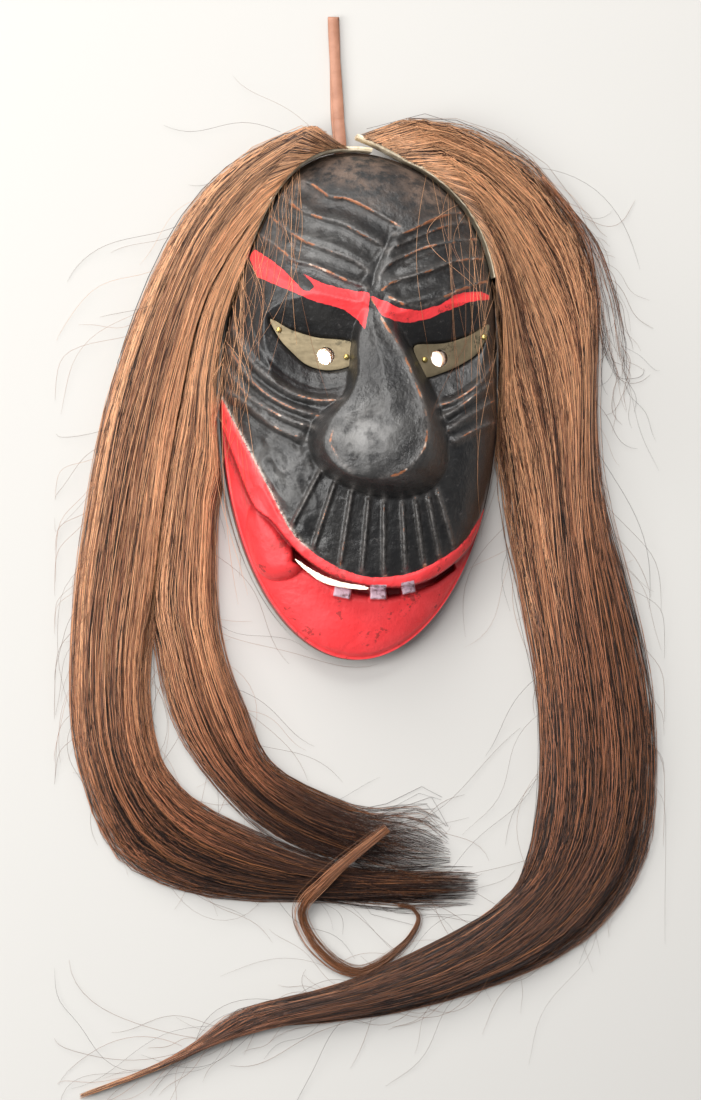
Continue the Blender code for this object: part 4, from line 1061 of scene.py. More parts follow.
def hair_material(name, settings, core):
    """Horsehair, tan at the roots and near black at the tips, each hair a little different, and the dense
    body darkened with painted shade.
    """
    material, tree, shader = start_material(name)
    along, tone = read_number(tree, "along"), read_number(tree, "tone")
    if core:
        streak = noise_at(tree, 1.0, 4.0, 0.7, place=add_node(
            tree, "ShaderNodeCombineXYZ",
            {"X": times(tree, read_number(tree, "across"), 90.0),
             "Y": times(tree, along, 7.0), "Z": tone},
        ).outputs[0])
        tone = ramp(tree, streak, 0.28, 0.74, -0.25, 0.9)
    fall = maths(tree, "ADD", along, times(tree, maths(tree, "SUBTRACT", tone, 0.5), -0.6))
    root, middle = (*settings.root_colour, 1), (*settings.middle_colour, 1)
    colour = blend_colours(tree, ramp(tree, fall, 0.10, 0.42), root, middle)
    colour = blend_colours(tree, ramp(tree, fall, 0.40, 0.68), colour, (*settings.tip_colour, 1))
    light = blend_colours(tree, 1.0, colour, HAIR_LIGHTER, "MULTIPLY")
    dark = blend_colours(tree, 1.0, colour, HAIR_DARKER, "MULTIPLY")
    colour = blend_colours(tree, ramp(tree, tone, 0.5, 0.0), colour, dark)
    colour = blend_colours(tree, ramp(tree, tone, 0.62, 1.0), colour, light)
    rusty = times(tree, read_number(tree, "rusty"), ramp(tree, along, 0.2, 0.5))
    colour = blend_colours(tree, rusty, colour, HAIR_RUSTY)
    # Painted shade: the body under the loose hairs is multiplied darker.
    if core:
        colour = blend_colours(tree, 1.0, colour, HAIR_BODY_SHADE, "MULTIPLY")
    plug(tree, shader, Base_Color=colour, Roughness=0.42 if core else 0.36)
    shader.inputs["Specular IOR Level"].default_value = 0.45
    return material


def studio_floor(settings):
    """Plain pale paper."""
    material, tree, shader = start_material("Studio floor")
    darker = [0.985 * c for c in settings.floor_colour]
    colour = blend_colours(tree, noise_at(tree, 1.2, 2.0), (*settings.floor_colour, 1), (*darker, 1))
    plug(tree, shader, Base_Color=colour, Roughness=0.9)
    shader.inputs["Specular IOR Level"].default_value = 0.1
    return material


# The carved face.

def face_mesh():
    """Points and faces of the closed carved shell, with its hollow."""
    p, q = disc_cells(*FACE_CELLS)
    x, y = place_in_outline(p, q)
    rows, columns = p.shape
    points = [to_real(x, y, carved_height(x, y)).reshape(-1, 3)]
    faces = [grid_faces(rows, columns)]
    ring = ring_of(rows, columns)
    count = rows * columns
    turn_x, turn_y = p.ravel()[ring], q.ravel()[ring]
    edge_x, edge_y = place_in_outline(turn_x, turn_y)
    last = ring

    def add_ring(ring_points):
        nonlocal count, last
        points.append(ring_points)
        new = np.arange(count, count + len(ring_points))
        faces.append(band_faces(last, new))
        last = new
        count += len(ring_points)

    for level in (EDGE_HEIGHT - 1.2, 7.0, 0.6):
        add_ring(to_real(edge_x, edge_y, level + 0.12 * soft_noise(edge_x, edge_y, 6.0, 3)))
    add_ring(to_real(middle_of(edge_y) + (edge_x - middle_of(edge_y)) * 0.992, edge_y * 0.992, 0.0))
    for share in np.sin(np.linspace(math.pi / 2, 0.06, HOLLOW_RINGS)):
        ring_y = share * turn_y * (reach_of(turn_y) - RIM_WIDTH)
        ring_x = middle_of(ring_y) + share * turn_x * (half_width_at(ring_y) - RIM_WIDTH)
        add_ring(to_real(ring_x, ring_y, cavity_height(ring_x, ring_y), False))
    points.append(to_real([middle_of(0.0)], [0.0], [CAVITY_DEPTH], False))
    faces = [f for block in faces for f in block.tolist()]
    faces += [(int(a), int(b), count) for a, b in zip(last, np.roll(last, -1))]
    return np.vstack(points), faces


def make_cutter(name, outline, low, high, leans=True):
    """A tool between two levels over a closed outline of the drawing."""
    count = len(outline)
    points = np.vstack([to_real(outline[:, 0], outline[:, 1], level, leans) for level in (low, high)])
    sides = [(k, (k + 1) % count, count + (k + 1) % count, count + k) for k in range(count)]
    mesh = bpy.data.meshes.new(name)
    mesh.from_pydata(points, [], sides + [tuple(range(count)), tuple(range(count, 2 * count))])
    face_outward(mesh)
    tool = bpy.data.objects.new(name, mesh)
    bpy.context.scene.collection.objects.link(tool)
    return tool


def round_outline(centre, radius, sides=28):
    """A circle in the drawing."""
    turn = 2 * math.pi * np.arange(sides) / sides
    return np.stack([centre[0] + radius * np.cos(turn), centre[1] + radius * np.sin(turn)], axis=1)


def hole_place(eye):
    """Where an eye's hole stands in the drawing, as if nothing leaned."""
    _, (hole_x, hole_y), level, _, _ = eye
    over = level - EDGE_HEIGHT
    return hole_x - LEAN_ACROSS * over, hole_y - LEAN_UP * over


def drill_for(eye):
    """A straight drill that is longer than the mask is deep, over one eye's hole."""
    return make_cutter("drill", round_outline(hole_place(eye), EYE_HOLE_RADIUS), *DRILL_SPAN, False)


def cut_away(piece, tools):
    """Cuts every tool out of a piece, and removes the tools."""
    for tool in tools:
        modifier = piece.modifiers.new("cut", "BOOLEAN")
        modifier.operation = "DIFFERENCE"
        modifier.solver = "EXACT"
        modifier.object = tool
    graph = bpy.context.evaluated_depsgraph_get()
    old = piece.data
    piece.data = bpy.data.meshes.new_from_object(piece.evaluated_get(graph))
    piece.modifiers.clear()
    bpy.data.meshes.remove(old)
    for tool in tools:
        bpy.data.objects.remove(tool)


def nearest_of(x, y, paths):
    """Distance to the nearest of several paths."""
    return np.min([nearest_on_path(x, y, curve_through(path))[0] for path in paths], axis=0)


def rubbed_highlight_at(x, y):
    """1 where hands have rubbed the paint grey and a highlight is painted on it, 0 where it is still black.
    """
    rubbed = 0 * x
    for (place_x, place_y), reach, share in RUBBED_HIGHLIGHT_PLACES:
        away = ((x - place_x) ** 2 + (y - place_y) ** 2) / reach**2
        rubbed = np.maximum(rubbed, share * np.exp(-away))
    return rubbed


def mark_face(mesh):
    """Keeps on every vertex of the face what its paint needs to know."""
    places = np.zeros(len(mesh.vertices) * 3)
    mesh.vertices.foreach_get("co", places)
    x, y, z = from_real(places.reshape(-1, 3))
    radius = radius_in_outline(x, y)
    hollow = cavity_height(x, y)
    inside = ((z < hollow + 1.5) & (radius < 0.99)) | (z < 1.0)
    brow = np.max([gap_inside(x, y, np.array(area, float)) for area in RED_BROWS], axis=0)
    mouth = gap_inside(x, y, area_below(RED_MOUTH))
    tooth = np.max([-tooth_edge(x, y, t)[0] for t in TEETH], axis=0)
    tooth = np.where(z > hollow + 7, tooth, -9)
    # Bare wood shows along sharp edges, and less on the cheeks and the ribs.
    edges = FOREHEAD_LEFT + FOREHEAD_RIGHT + NOSE_WORN
    worn = np.exp(-nearest_of(x, y, edges) / 1.0)
    worn = np.maximum(worn, 0.85 * np.exp(-nearest_of(x, y, CHEEK_LEFT + CHEEK_RIGHT) / 0.8))
    worn = np.maximum(worn, 0.66 * np.exp(-nearest_of(x, y, RIBS) / 0.7))
    # Crests get grey for rubbed paint and a painted edge highlight.
    crests = nearest_of(x, y, edges + CHEEK_LEFT + CHEEK_RIGHT + RIBS)
    ends = np.array([path[-1] for path in RIBS], float)
    at_ends = np.min([np.hypot(x - a, y - b) for a, b in ends], axis=0)
    worn = np.maximum(worn, 0.8 * np.exp(-at_ends / 4.0) * (x > 5))
    # Painted shade darkens the red under the lip and low in the mouth, and the red is chipped along its left
    # edge.
    trench = smooth_step(7.0, 0.0, nearest_on_path(x, y, curve_through(LIP_EDGE))[0])
    below_lip = gap_inside(x, y, area_below(LIP_EDGE))
    deep = np.clip(trench * (below_lip > -0.5) * 0.8 + smooth_step(16, 6, z - hollow) * (mouth > 0), 0, 1)
    chipped = np.exp(-np.abs(mouth + 0.5) / 0.55) * smooth_step(-24, -34, x)
    store(mesh, "red_brow", brow)
    store(mesh, "red_mouth", mouth)
    store(mesh, "tooth", tooth)
    store(mesh, "worn", worn)
    store(mesh, "edges", np.exp(-crests / 1.1))
    store(mesh, "deep", deep)
    store(mesh, "chipped", chipped)
    store(mesh, "inside", inside)
    store(mesh, "handled", rubbed_highlight_at(x, y))
    store(mesh, "top", smooth_step(96, 118, y + 0.12 * x))


# Eyes, hide and lace.

def plate_mesh(eye):
    """A thin sheet cut to the socket, a little hollowed, with rolled edges."""
    outline = curve_through(eye[0], 5, closed=True)
    centre = outline.mean(axis=0)
    away = outline - centre
    size = np.linalg.norm(away, axis=1, keepdims=True)
    base = CLEARANCE
    rings = ((0.75, 0.0), (0.75, 0.55), (0.95, 0.85), (1.5, PLATE_THICKNESS))
    points = []
    for inset, lift in rings:
        x, y = (centre + away * (1 - inset / size)).T
        points.append(to_real(x, y, socket_height(x, y, eye) + base + lift))
    for share in (0.85, 0.7, 0.55, 0.4, 0.25, 0.1):
        x, y = (centre + away * (1 - 1.5 / size) * share).T
        dent = 0.10 * soft_noise(x, y, 6.0, 21)
        points.append(to_real(x, y, socket_height(x, y, eye) + base + PLATE_THICKNESS + dent))
    return np.vstack(points), ring_faces(len(points), len(outline))


def tack_mesh(eye, place):
    """A low domed head."""
    x, y = place
    foot = to_real(x, y, socket_height(x, y, eye) + CLEARANCE + PLATE_THICKNESS)
    points = []
    sides = 20
    turn = 2 * math.pi * np.arange(sides) / sides
    dome = ((1.0, 0.0), (1.0, 0.25), (0.93, 0.5), (0.75, 0.78), (0.45, 0.95), (0.15, 1.0))
    for share, lift in dome:
        radius = TACK_RADIUS * share
        ring = np.stack([radius * np.cos(turn), radius * np.sin(turn), 0 * turn + lift + 0.2], axis=1)
        points.append(foot + ring * MM)
    return np.vstack(points), ring_faces(len(dome), sides)


def stand_off(degrees):
    """How far the right strip stands off the wood near its first end."""
    run = (RIGHT_STRIP[0] - np.asarray(degrees)) / STAND_OFF_SPAN
    return STRIP_STAND_OFF * np.clip(1 - run, 0, 1) ** 1.5


def strip_mesh(first, last, stands_off, seed):
    """A strip of hide bent round the forehead, with an uneven cut edge."""
    steps = 150
    angles = np.linspace(first, last, steps)
    off = CLEARANCE + (stand_off(angles) if stands_off else 0 * angles)
    x, y = beside_outline(angles, off)
    wander = soft_noise(x, y, 5.0, seed)
    top = HIDE_TOP + 0.8 * wander + 0.6 * soft_noise(x, y, 1.7, seed + 1)
    profile = (
        (0.1, HIDE_BOTTOM), (HIDE_THICKNESS - 0.1, HIDE_BOTTOM), (HIDE_THICKNESS, HIDE_BOTTOM + 4),
        (HIDE_THICKNESS + 0.2, None), (HIDE_THICKNESS * 0.6, "lip"), (0.1, None), (0.0, HIDE_BOTTOM + 4),
    )
    rows = []
    for away, level in profile:
        side_x, side_y = beside_outline(angles, off + away + 0.15 * wander)
        if level is None:
            level = top
        elif level == "lip":
            level = top + 0.7
        rows.append(to_real(side_x, side_y, level, False))
    return np.stack(rows, axis=1).reshape(-1, 3), ring_faces(steps, len(profile))


def lace_mesh():
    """The folded lace, widened and curled a little along its way."""
    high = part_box("hanging_lace")[1]
    _, edge = beside_outline([97.0], 0.0)
    wall = to_real(LACE_FOOT, edge[0], 0.0, False)
    thick = LACE_THICKNESS * MM
    step = (thick + CLEARANCE * MM) / 2
    ground = thick + CLEARANCE * MM
    head_y = high[1] - thick * 0.5
    hole = LACE_HOLE_HEIGHT * MM
    head_x = to_real(LACE_HEAD, edge[0], 0.0)[0]
    outside, landed = wall[1] + 5 * MM, wall[1] + 24 * MM
    middle = [
        (wall[1] - LACE_INSIDE * MM, hole), (outside, hole), (outside + 5 * MM, hole - 1.2 * MM),
        ((outside + landed) / 2, (hole + ground) / 2 - 0.4 * MM), (landed - 4 * MM, ground + 0.7 * MM),
        (landed, ground), ((landed + head_y) / 2, ground), (head_y - 6 * MM, ground), (head_y, ground),
    ]
    middle = curve_through(middle, 6)
    back = middle - (0, step)
    front = middle[::-1] + (0, step)
    turn = np.linspace(0.35, math.pi - 0.35, 7)
    bend = np.stack([head_y + step * np.sin(turn), ground - step * np.cos(turn)], axis=1)
    path = np.vstack([back, bend, front])
    ahead = np.gradient(path, axis=0)
    ahead /= np.linalg.norm(ahead, axis=1, keepdims=True)
    share = np.clip((path[:, 0] - wall[1]) / (head_y - wall[1]), 0, 1)
    half = LACE_WIDTH / 2 * (1 - 0.12 * share) * MM
    centre_x = wall[0] + (head_x - wall[0]) * share
    on_top = np.arange(len(path)) > len(path) / 2
    centre_x = centre_x + np.where(on_top, 0.5, -0.4) * MM * np.sin(share * 5.0)
    section = (
        (-1, -0.6), (-0.94, -1), (0.94, -1), (1, -0.6), (1, 0.6), (0.94, 1), (0.4, 0.92), (-0.4, 0.92),
        (-0.94, 1), (-1, 0.6),
    )
    points, rubbed = [], []
    for k, (y, z) in enumerate(path):
        for across, off in section:
            lift = off * thick / 2
            points.append((
                centre_x[k] + across * half[k], y - lift * ahead[k, 1], z + lift * ahead[k, 0]
            ))
            rubbed.append(0.45 if abs(across) > 0.9 else 0.0)
    points = np.array(points)
    points[:, 2] = np.maximum(points[:, 2], 0.0)
    knot_at = (wall[0], wall[1] - KNOT_INSIDE * MM, hole)
    return points, ring_faces(len(path), len(section)), rubbed, knot_at


# Hair.

def hide_away():
    """How far the hair's root stands off the mask, outside the hide strip."""
    return 2 * CLEARANCE + HIDE_THICKNESS


def root_curve(first, last, columns, stands_off=False):
    """Where a lock's hairs leave the hide strip."""
    angles = np.linspace(first, last, columns + 1)
    x, y = beside_outline(angles, hide_away() + (stand_off(angles) if stands_off else 0))
    return np.stack([x, y], axis=1)


def down_the_side(first, last, steps=5):
    """Places beside the mask, from the end of a hide strip down along the face."""
    x, y = beside_outline(np.linspace(first, last, steps), hide_away())
    return tuple(zip(x, y))


def keep_beside_mask(x, y, stands_off=False):
    """Pushes places outward until they clear the mask and its hide strips."""
    across = x - middle_of(y)
    radius = np.maximum(radius_in_outline(x, y), 1e-6)
    away = hide_away() + 0 * x
    if stands_off:
        away = away + stand_off(np.degrees(np.arctan2(y / DRAWN_TOP, across / DRAWN_HALF_WIDTH)))
    needed = 1 + away * radius / np.maximum(np.hypot(across, y), 1e-6)
    push = np.maximum(needed / radius, 1)
    return middle_of(y) + across * push, y * push


def hair_bottom(x, y):
    """Underside of the hair: on the ground, but over the lace at the top of the head."""
    near = smooth_step(46, 20, np.abs(x - LACE_FOOT)) * smooth_step(90, 120, y)
    return HIDE_BOTTOM * near


class Lock:
    """One lock of hair: where its surface lies, from root to tip and across."""

    def __init__(self, name, outer, inner, depth, root=None, stands_off=False, joined=None):
        self.name = name
        self.rooted = root is not None
        self.fans = joined is not None
        self.shares = np.linspace(0, 1, 161) ** 1.12
        self.across = np.linspace(0, 1, 41)
        if root is not None:
            outer = (root[0],) + tuple(outer)
            inner = (root[-1],) + tuple(inner)
        outside = evenly_along(curve_through(outer, 6), self.shares)
        inside = evenly_along(curve_through(inner, 6), self.shares)
        w = self.across[None, :, None]
        places = outside[:, None, :] * (1 - w) + inside[:, None, :] * w
        if root is not None:
            # The first fifth bends from the hide strip's curve to the drawn edges.
            straight = outside[0] * (1 - w[0]) + inside[0] * w[0]
            pull = (1 - smooth_step(0.0, 0.2, self.shares))[:, None, None]
            places = places + pull * (root - straight)[None]
        x, y = keep_beside_mask(places[..., 0], places[..., 1], stands_off)
        low = hair_bottom(x, y)
        # The section is round on top, and fuller where it lies against the lock beside it.
        beside_other = smooth_step(0.5, 0.4, self.shares) * (joined is not None)
        toward = self.across if joined == "inner" else 1 - self.across
        edge = 0.3 + 0.5 * beside_other[:, None] * toward[None, :]
        round_top = np.sqrt(np.clip(4 * self.across * (1 - self.across), 0, 1))[None, :]
        arch = edge + (1 - edge) * round_top
        full = np.interp(self.shares, (0, 0.12, 0.5, 0.8, 1.0), (1.15, 1.1, 0.85, 0.6, 0.22))[:, None]
        high = low + depth * full * arch * 0.95
        if root is not None:
            high = high + np.maximum(HIDE_TOP - high, 0) * smooth_step(0.16, 0.0, self.shares)[:, None]
        self.table = np.stack([x, y, low, high], axis=-1)

    def fading(self, along):
        """How far the hair's colour has turned from root to tip colour at a share of its length."""
        shares, fade = FADING.get(self.name, FADING["other"])
        return np.interp(along, shares, fade)

    def at(self, share, across):
        """Plan place, underside and top of the lock, also a little beyond its edges."""
        i = np.interp(share, self.shares, np.arange(len(self.shares)))
        j = np.clip(across, 0, 1) * (len(self.across) - 1)
        i0 = np.clip(i.astype(int), 0, len(self.shares) - 2)
        j0 = np.clip(j.astype(int), 0, len(self.across) - 2)
        a, b = (i - i0)[..., None], (j - j0)[..., None]
        t = self.table
        found = (t[i0, j0] * (1 - b) + t[i0, j0 + 1] * b) * (1 - a)
        found = found + (t[i0 + 1, j0] * (1 - b) + t[i0 + 1, j0 + 1] * b) * a
        beyond = (across - np.clip(across, 0, 1))[..., None]
        width = t[i0, -1, :2] - t[i0, 0, :2]
        found[..., :2] = found[..., :2] + beyond * width
        return found


def core_mesh(lock):
    """The dense body of a lock, grooved along its hairs."""
    rng = np.random.default_rng(len(lock.name))
    sections, columns = 110, 56
    share = np.linspace(0, CORE_SHARE, sections + 1)
    across = np.linspace(0, 1, columns + 1)
    s, w = np.meshgrid(share, across, indexing="ij")
    narrow = 0.08 + 0.10 * smooth_step(0.3, 0.6, s) + 0.22 * smooth_step(0.7, CORE_SHARE, s) ** 2
    found = lock.at(s, narrow + w * (1 - 2 * narrow))
    groove = rng.uniform(0, 1, columns + 1)[None, :] + 0.4 * soft_noise(w * 60, s * 9, 1.0, 31)
    sink = 2.6 * groove * smooth_step(0.0, 0.04, s) + 0.6
    top = np.maximum(found[..., 3] - sink, found[..., 2] + 0.6)
    high = to_real(found[..., 0], found[..., 1], top, False).reshape(-1, 3)
    low = to_real(found[..., 0], found[..., 1], found[..., 2] + 0.05, False).reshape(-1, 3)
    rows, cols = s.shape
    count = rows * cols
    ring = ring_of(rows, cols)
    faces = grid_faces(rows, cols).tolist()
    faces += [f[::-1] for f in grid_faces(rows, cols, count).tolist()]
    faces += band_faces(ring, count + ring).tolist()
    marks = {
        "along": np.tile(lock.fading(s).ravel(), 2),
        "across": np.tile(w.ravel(), 2),
        "tone": np.full(2 * count, 0.5),
    }
    return np.vstack([high, low]), faces, marks


def held_in(places):
    """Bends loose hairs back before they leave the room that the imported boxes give."""
    low, high = (np.array(corner)[:2] for corner in CAD_BOX)
    middle, half = (low + high) / 2, (high - low) / 2
    off = places[..., :2] - middle
    over = np.maximum(np.abs(off) - half, 0) / (LOOSE_ROOM * MM)
    reach = np.minimum(np.abs(off), half) + LOOSE_ROOM * MM * np.tanh(over)
    places[..., :2] = middle + np.sign(off) * reach
    return places


def strand_paths(lock, count, seed, steps, stray=0.0):
    """Ways of many hairs along one lock, and what colours them."""
    rng = np.random.default_rng(seed)
    # Most hairs start at the root and some on the way, and each ends somewhere else near the tip.
    start = rng.uniform(0.0, 0.003, count)
    start = np.where(rng.random(count) < 0.12, rng.uniform(0.0, 0.35, count), start)
    end = 1 - rng.uniform(0, 1, count) ** 1.3 * 0.36
    along = start[:, None] + (end - start)[:, None] * np.linspace(0, 1, steps)[None, :]
    # They lie anywhere across the lock, and draw towards the nearest clump on their way down.
    first = rng.uniform(-0.015, 1.015, count)
    clumps = np.sort(rng.uniform(0, 1, 30))
    nearest = clumps[np.argmin(np.abs(first[:, None] - clumps[None, :]), axis=1)]
    gather = rng.uniform(0.1, 0.6, (count, 1)) * smooth_step(0.05, 0.8, along)
    across = first[:, None] * (1 - gather) + nearest[:, None] * gather
    # Slow waves and a fine frizz, and some hairs that swing over to another place.
    drift = rng.normal(0, 1, (count, 3))
    wave = (
        drift[:, :1] * 0.055 * np.sin(along * 3.1 + drift[:, 1:2] * 3)
        + drift[:, 1:2] * 0.030 * np.sin(along * 9.0 + drift[:, 2:3] * 5)
    )
    frizz = 0.022 * np.sin(along * rng.uniform(18, 36, (count, 1)) + drift[:, 2:3] * 5)
    across = across + (wave + frizz) * smooth_step(0.0, 0.12, along)
    loose = rng.random(count) < 0.40
    most = 0.3 + stray
    swing = np.clip(rng.normal(0, 0.16 + stray, count), -most, most) * (loose | (stray > 0))
    across = across + swing[:, None] * smooth_step(0.02, 0.7, along)
    # The tips of the left locks fan out past the edges that hold the rest.
    fan = rng.normal(0, 0.55, (count, 1)) * lock.fans
    within = np.clip(across, 0, 1)
    across = within + EDGE_ROOM * np.tanh((across - within) / EDGE_ROOM)
    across = across + fan * smooth_step(0.84, 1.0, along)
    # Each hair keeps to a layer under the lock's surface, and never sinks through its underside.
    found = lock.at(along, across)
    layer = rng.uniform(0, 1, count) ** 1.5
    span = found[..., 3] - found[..., 2]
    lift = -1.9 * layer[:, None] + 0.8 + 0.9 * drift[:, 2:3] * np.sin(along * 6 + drift[:, :1] * 4)
    height = found[..., 3] + lift * smooth_step(0, 0.05, along)
    height = np.where(np.abs(across - 0.5) > 0.5, found[..., 2] + 0.35 * span, height)
    height = np.maximum(height, found[..., 2] + 0.45)
    x, y = keep_beside_mask(found[..., 0], found[..., 1])
    # At its root it laps over the edge of the hide strip.
    at_root = smooth_step(0.03, 0.0, along) * lock.rooted
    toward = np.hypot(x - middle_of(y), y)
    x = x - ROOT_LAP * at_root * (x - middle_of(y)) / toward
    y = y - ROOT_LAP * at_root * y / toward
    height = height + at_root * (0.9 + 0.5 * drift[:, :1])
    paths = held_in(to_real(x, y, height, False))
    # Hairs beside each other share a bundle's tone, and painted shade makes the lower-lying ones darker.
    bundle = soft_noise(first * 17, 0 * first + seed % 7, 1.0, 61)
    tone = np.clip(0.54 + 0.62 * bundle + rng.normal(0, 0.38, count) - 0.2 * layer, 0, 1)
    rusty = (rng.random(count) < 0.14) * rng.uniform(0.3, 1, count)
    return paths, lock.fading(along), tone, rusty


def flyaway_paths(lock, count, seed, longest, steps=16):
    """Ways of single hairs that leave a lock's edges and curl over the ground."""
    rng = np.random.default_rng(seed)
    start = rng.uniform(0.02, 0.97, count)
    edge = np.where(rng.random(count) < 0.5, 0.0, 1.0)
    inside = np.abs(edge - rng.uniform(0.02, 0.3, count))
    # A hair leaves along the lock, bends outward and then curls over the ground.
    foot = lock.at(start, inside)
    ahead = lock.at(start + 0.02, inside)[:, :2] - foot[:, :2]
    heading = np.arctan2(ahead[:, 1], ahead[:, 0])
    outward = lock.at(start, edge)[:, :2] - lock.at(start, 0.5 + 0 * edge)[:, :2]
    turn_out = np.sign(ahead[:, 0] * outward[:, 1] - ahead[:, 1] * outward[:, 0])
    share = np.linspace(0, 1, steps)[None, :]
    length = rng.uniform(0.25, 1.0, count)[:, None] * longest
    bend = turn_out * rng.uniform(0.05, 0.7, count)
    curl = rng.normal(0, 0.8, count) - 0.4 * turn_out
    angle = heading[:, None] + bend[:, None] + curl[:, None] * share + 0.35 * np.sin(
        share * rng.uniform(3, 8, (count, 1)) + rng.uniform(0, 6, (count, 1))
    )
    x = foot[:, :1] + np.cumsum(np.cos(angle), axis=1) * length / steps
    y = foot[:, 1:2] + np.cumsum(np.sin(angle), axis=1) * length / steps
    x, y = keep_beside_mask(x, y)
    height = foot[:, 3:] * (1 - share) ** 1.5 + 0.6
    tone = rng.uniform(0.0, 0.8, count)
    fade = lock.fading(start)[:, None] + 0.15 * share
    return held_in(to_real(x, y, height, False)), fade, tone, rng.random(count) * 0.5


def add_strands(name, lock, count, seed, radius, material, steps=24, stray=0.0):
    """One piece of loose hairs along a lock."""
    paths, along, tone, rusty = strand_paths(lock, count, seed, steps, stray)
    return hairs_piece(name, paths, along, tone, rusty, radius, seed + 1, material)


def hairs_piece(name, paths, along, tone, rusty, radius, seed, material, replaced=()):
    """One piece made of the given ways of hairs."""
    count, steps = paths.shape[:2]
    taper = np.interp(np.linspace(0, 1, steps), (0, 0.05, 0.8, 1), (0.8, 1, 0.9, 0.35))
    rng = np.random.default_rng(seed)
    radii = radius * MM * taper[None, :] * rng.uniform(0.7, 1.25, count)[:, None]
    points, faces = tube_mesh(paths, radii)
    piece = new_piece(name, points, faces, material, replaced)
    store(piece.data, "along", np.repeat((along + np.zeros((count, steps))).ravel(), 3))
    store(piece.data, "tone", np.repeat(tone, steps * 3))
    store(piece.data, "rusty", np.repeat(rusty, steps * 3))
    return piece


def hairs_over_face(side, count, seed, steps=26):
    """Ways of stray hairs that hang down over one edge of the face."""
    rng = np.random.default_rng(seed)
    left = side == "left"
    start = np.radians(rng.uniform(108, 178, count) if left else rng.uniform(2, 66, count))
    share = np.linspace(0, 1, steps)[None, :]
    length = rng.uniform(35, 130, count)[:, None]
    slant = rng.normal(-0.10 if left else 0.12, 0.17, (count, 1))
    bend = rng.normal(0, 7, (count, 1)) * np.sin(share * rng.uniform(2.0, 5.0, (count, 1)))
    x, y = place_in_outline(np.cos(start), np.sin(start))
    x = x[:, None] + slant * length * share + bend
    y = y[:, None] - length * share
    on_face = radius_in_outline(x, y) < 0.985
    height = np.where(on_face, carved_height(x, y) + 0.7, HAIR_DEPTH * (1 - 0.3 * share))
    height[:, 0] = HIDE_TOP + 1.0
    for _ in range(4):
        height[:, 1:-1] = np.maximum(height[:, 1:-1], (height[:, :-2] + height[:, 2:]) / 2)
    paths = to_real(x, y, height)
    return paths, 0.1 + 0.35 * share, rng.uniform(0.3, 1.0, count), rng.random(count) * 0.6


def all_locks():
    """Every lock of the hair."""
    first, middle, last = LEFT_ROOT
    near_outer = tuple((x - CLEARANCE, y) for x, y in LEFT_SPLIT)
    near_inner = tuple((x + CLEARANCE, y) for x, y in LEFT_SPLIT)
    right_first, right_last = RIGHT_ROOT
    return {
        "hair_left_outer": Lock(
            "hair_left_outer", LEFT_OUTER_EDGE, near_outer + LEFT_SPLIT_OUTER, HAIR_DEPTH,
            root_curve(first, middle - 0.5, 40), joined="inner",
        ),
        "hair_left_inner": Lock(
            "hair_left_inner", near_inner + LEFT_SPLIT_INNER,
            down_the_side(last, LEFT_SIDE_END)[1:] + LEFT_INNER_EDGE, 0.9 * HAIR_DEPTH,
            root_curve(middle + 0.5, last, 40), joined="outer",
        ),
        "hair_right": Lock(
            "hair_right", RIGHT_OUTER_EDGE, down_the_side(right_last, RIGHT_SIDE_END)[1:] + RIGHT_INNER_EDGE,
            HAIR_DEPTH, root_curve(right_first, right_last, 40, True), True,
        ),
        "hair_right_stray": Lock("hair_right_stray", STRAY_OUTER_EDGE, STRAY_INNER_EDGE, 0.4 * HAIR_DEPTH),
    }


# Settings that a user would change.

class MaskFinishSettings(bpy.types.PropertyGroup):
    """Paints, metals and wear of the mask."""

    black_paint: FloatVectorProperty(
        name="Black paint", description="Main paint of the face", subtype="COLOR",
        default=(0.007, 0.007, 0.0075),
    )
    red_paint: FloatVectorProperty(
        name="Red paint", description="Paint of the brows, lips and jaw", subtype="COLOR",
        default=(0.90, 0.036, 0.042),
    )
    wear: FloatProperty(
        name="Wear", description="How much bare wood shows at the edges", default=0.9, min=0.0, max=1.0
    )
    sheet_colour: FloatVectorProperty(
        name="Eye sheet", description="Colour of the eye plates", subtype="COLOR",
        default=(0.175, 0.142, 0.088),
    )
    brass_colour: FloatVectorProperty(
        name="Tack brass", description="Colour of the tack heads", subtype="COLOR",
        default=(0.62, 0.48, 0.18),
    )
    hide_colour: FloatVectorProperty(
        name="Rawhide", description="Colour of the hide strips", subtype="COLOR", default=(0.93, 0.83, 0.64)
    )
    leather_colour: FloatVectorProperty(
        name="Lace leather", description="Colour of the hanging lace", subtype="COLOR",
        default=(0.68, 0.34, 0.22),
    )


class MaskHairSettings(bpy.types.PropertyGroup):
    """Thickness, number and colours of the hairs."""

    thickness: FloatProperty(
        name="Hair thickness", description="Radius of one modelled hair in millimetres",
        default=0.19, min=0.05,
    )
    per_piece: IntProperty(
        name="Hairs per piece", description="Modelled hairs in each full piece", default=900, min=10
    )
    root_colour: FloatVectorProperty(
        name="Roots", description="Colour at the forehead", subtype="COLOR", default=(0.52, 0.285, 0.155)
    )
    middle_colour: FloatVectorProperty(
        name="Middle", description="Colour half way", subtype="COLOR", default=(0.33, 0.135, 0.070)
    )
    tip_colour: FloatVectorProperty(
        name="Tips", description="Colour of the lower half", subtype="COLOR", default=(0.045, 0.023, 0.017)
    )


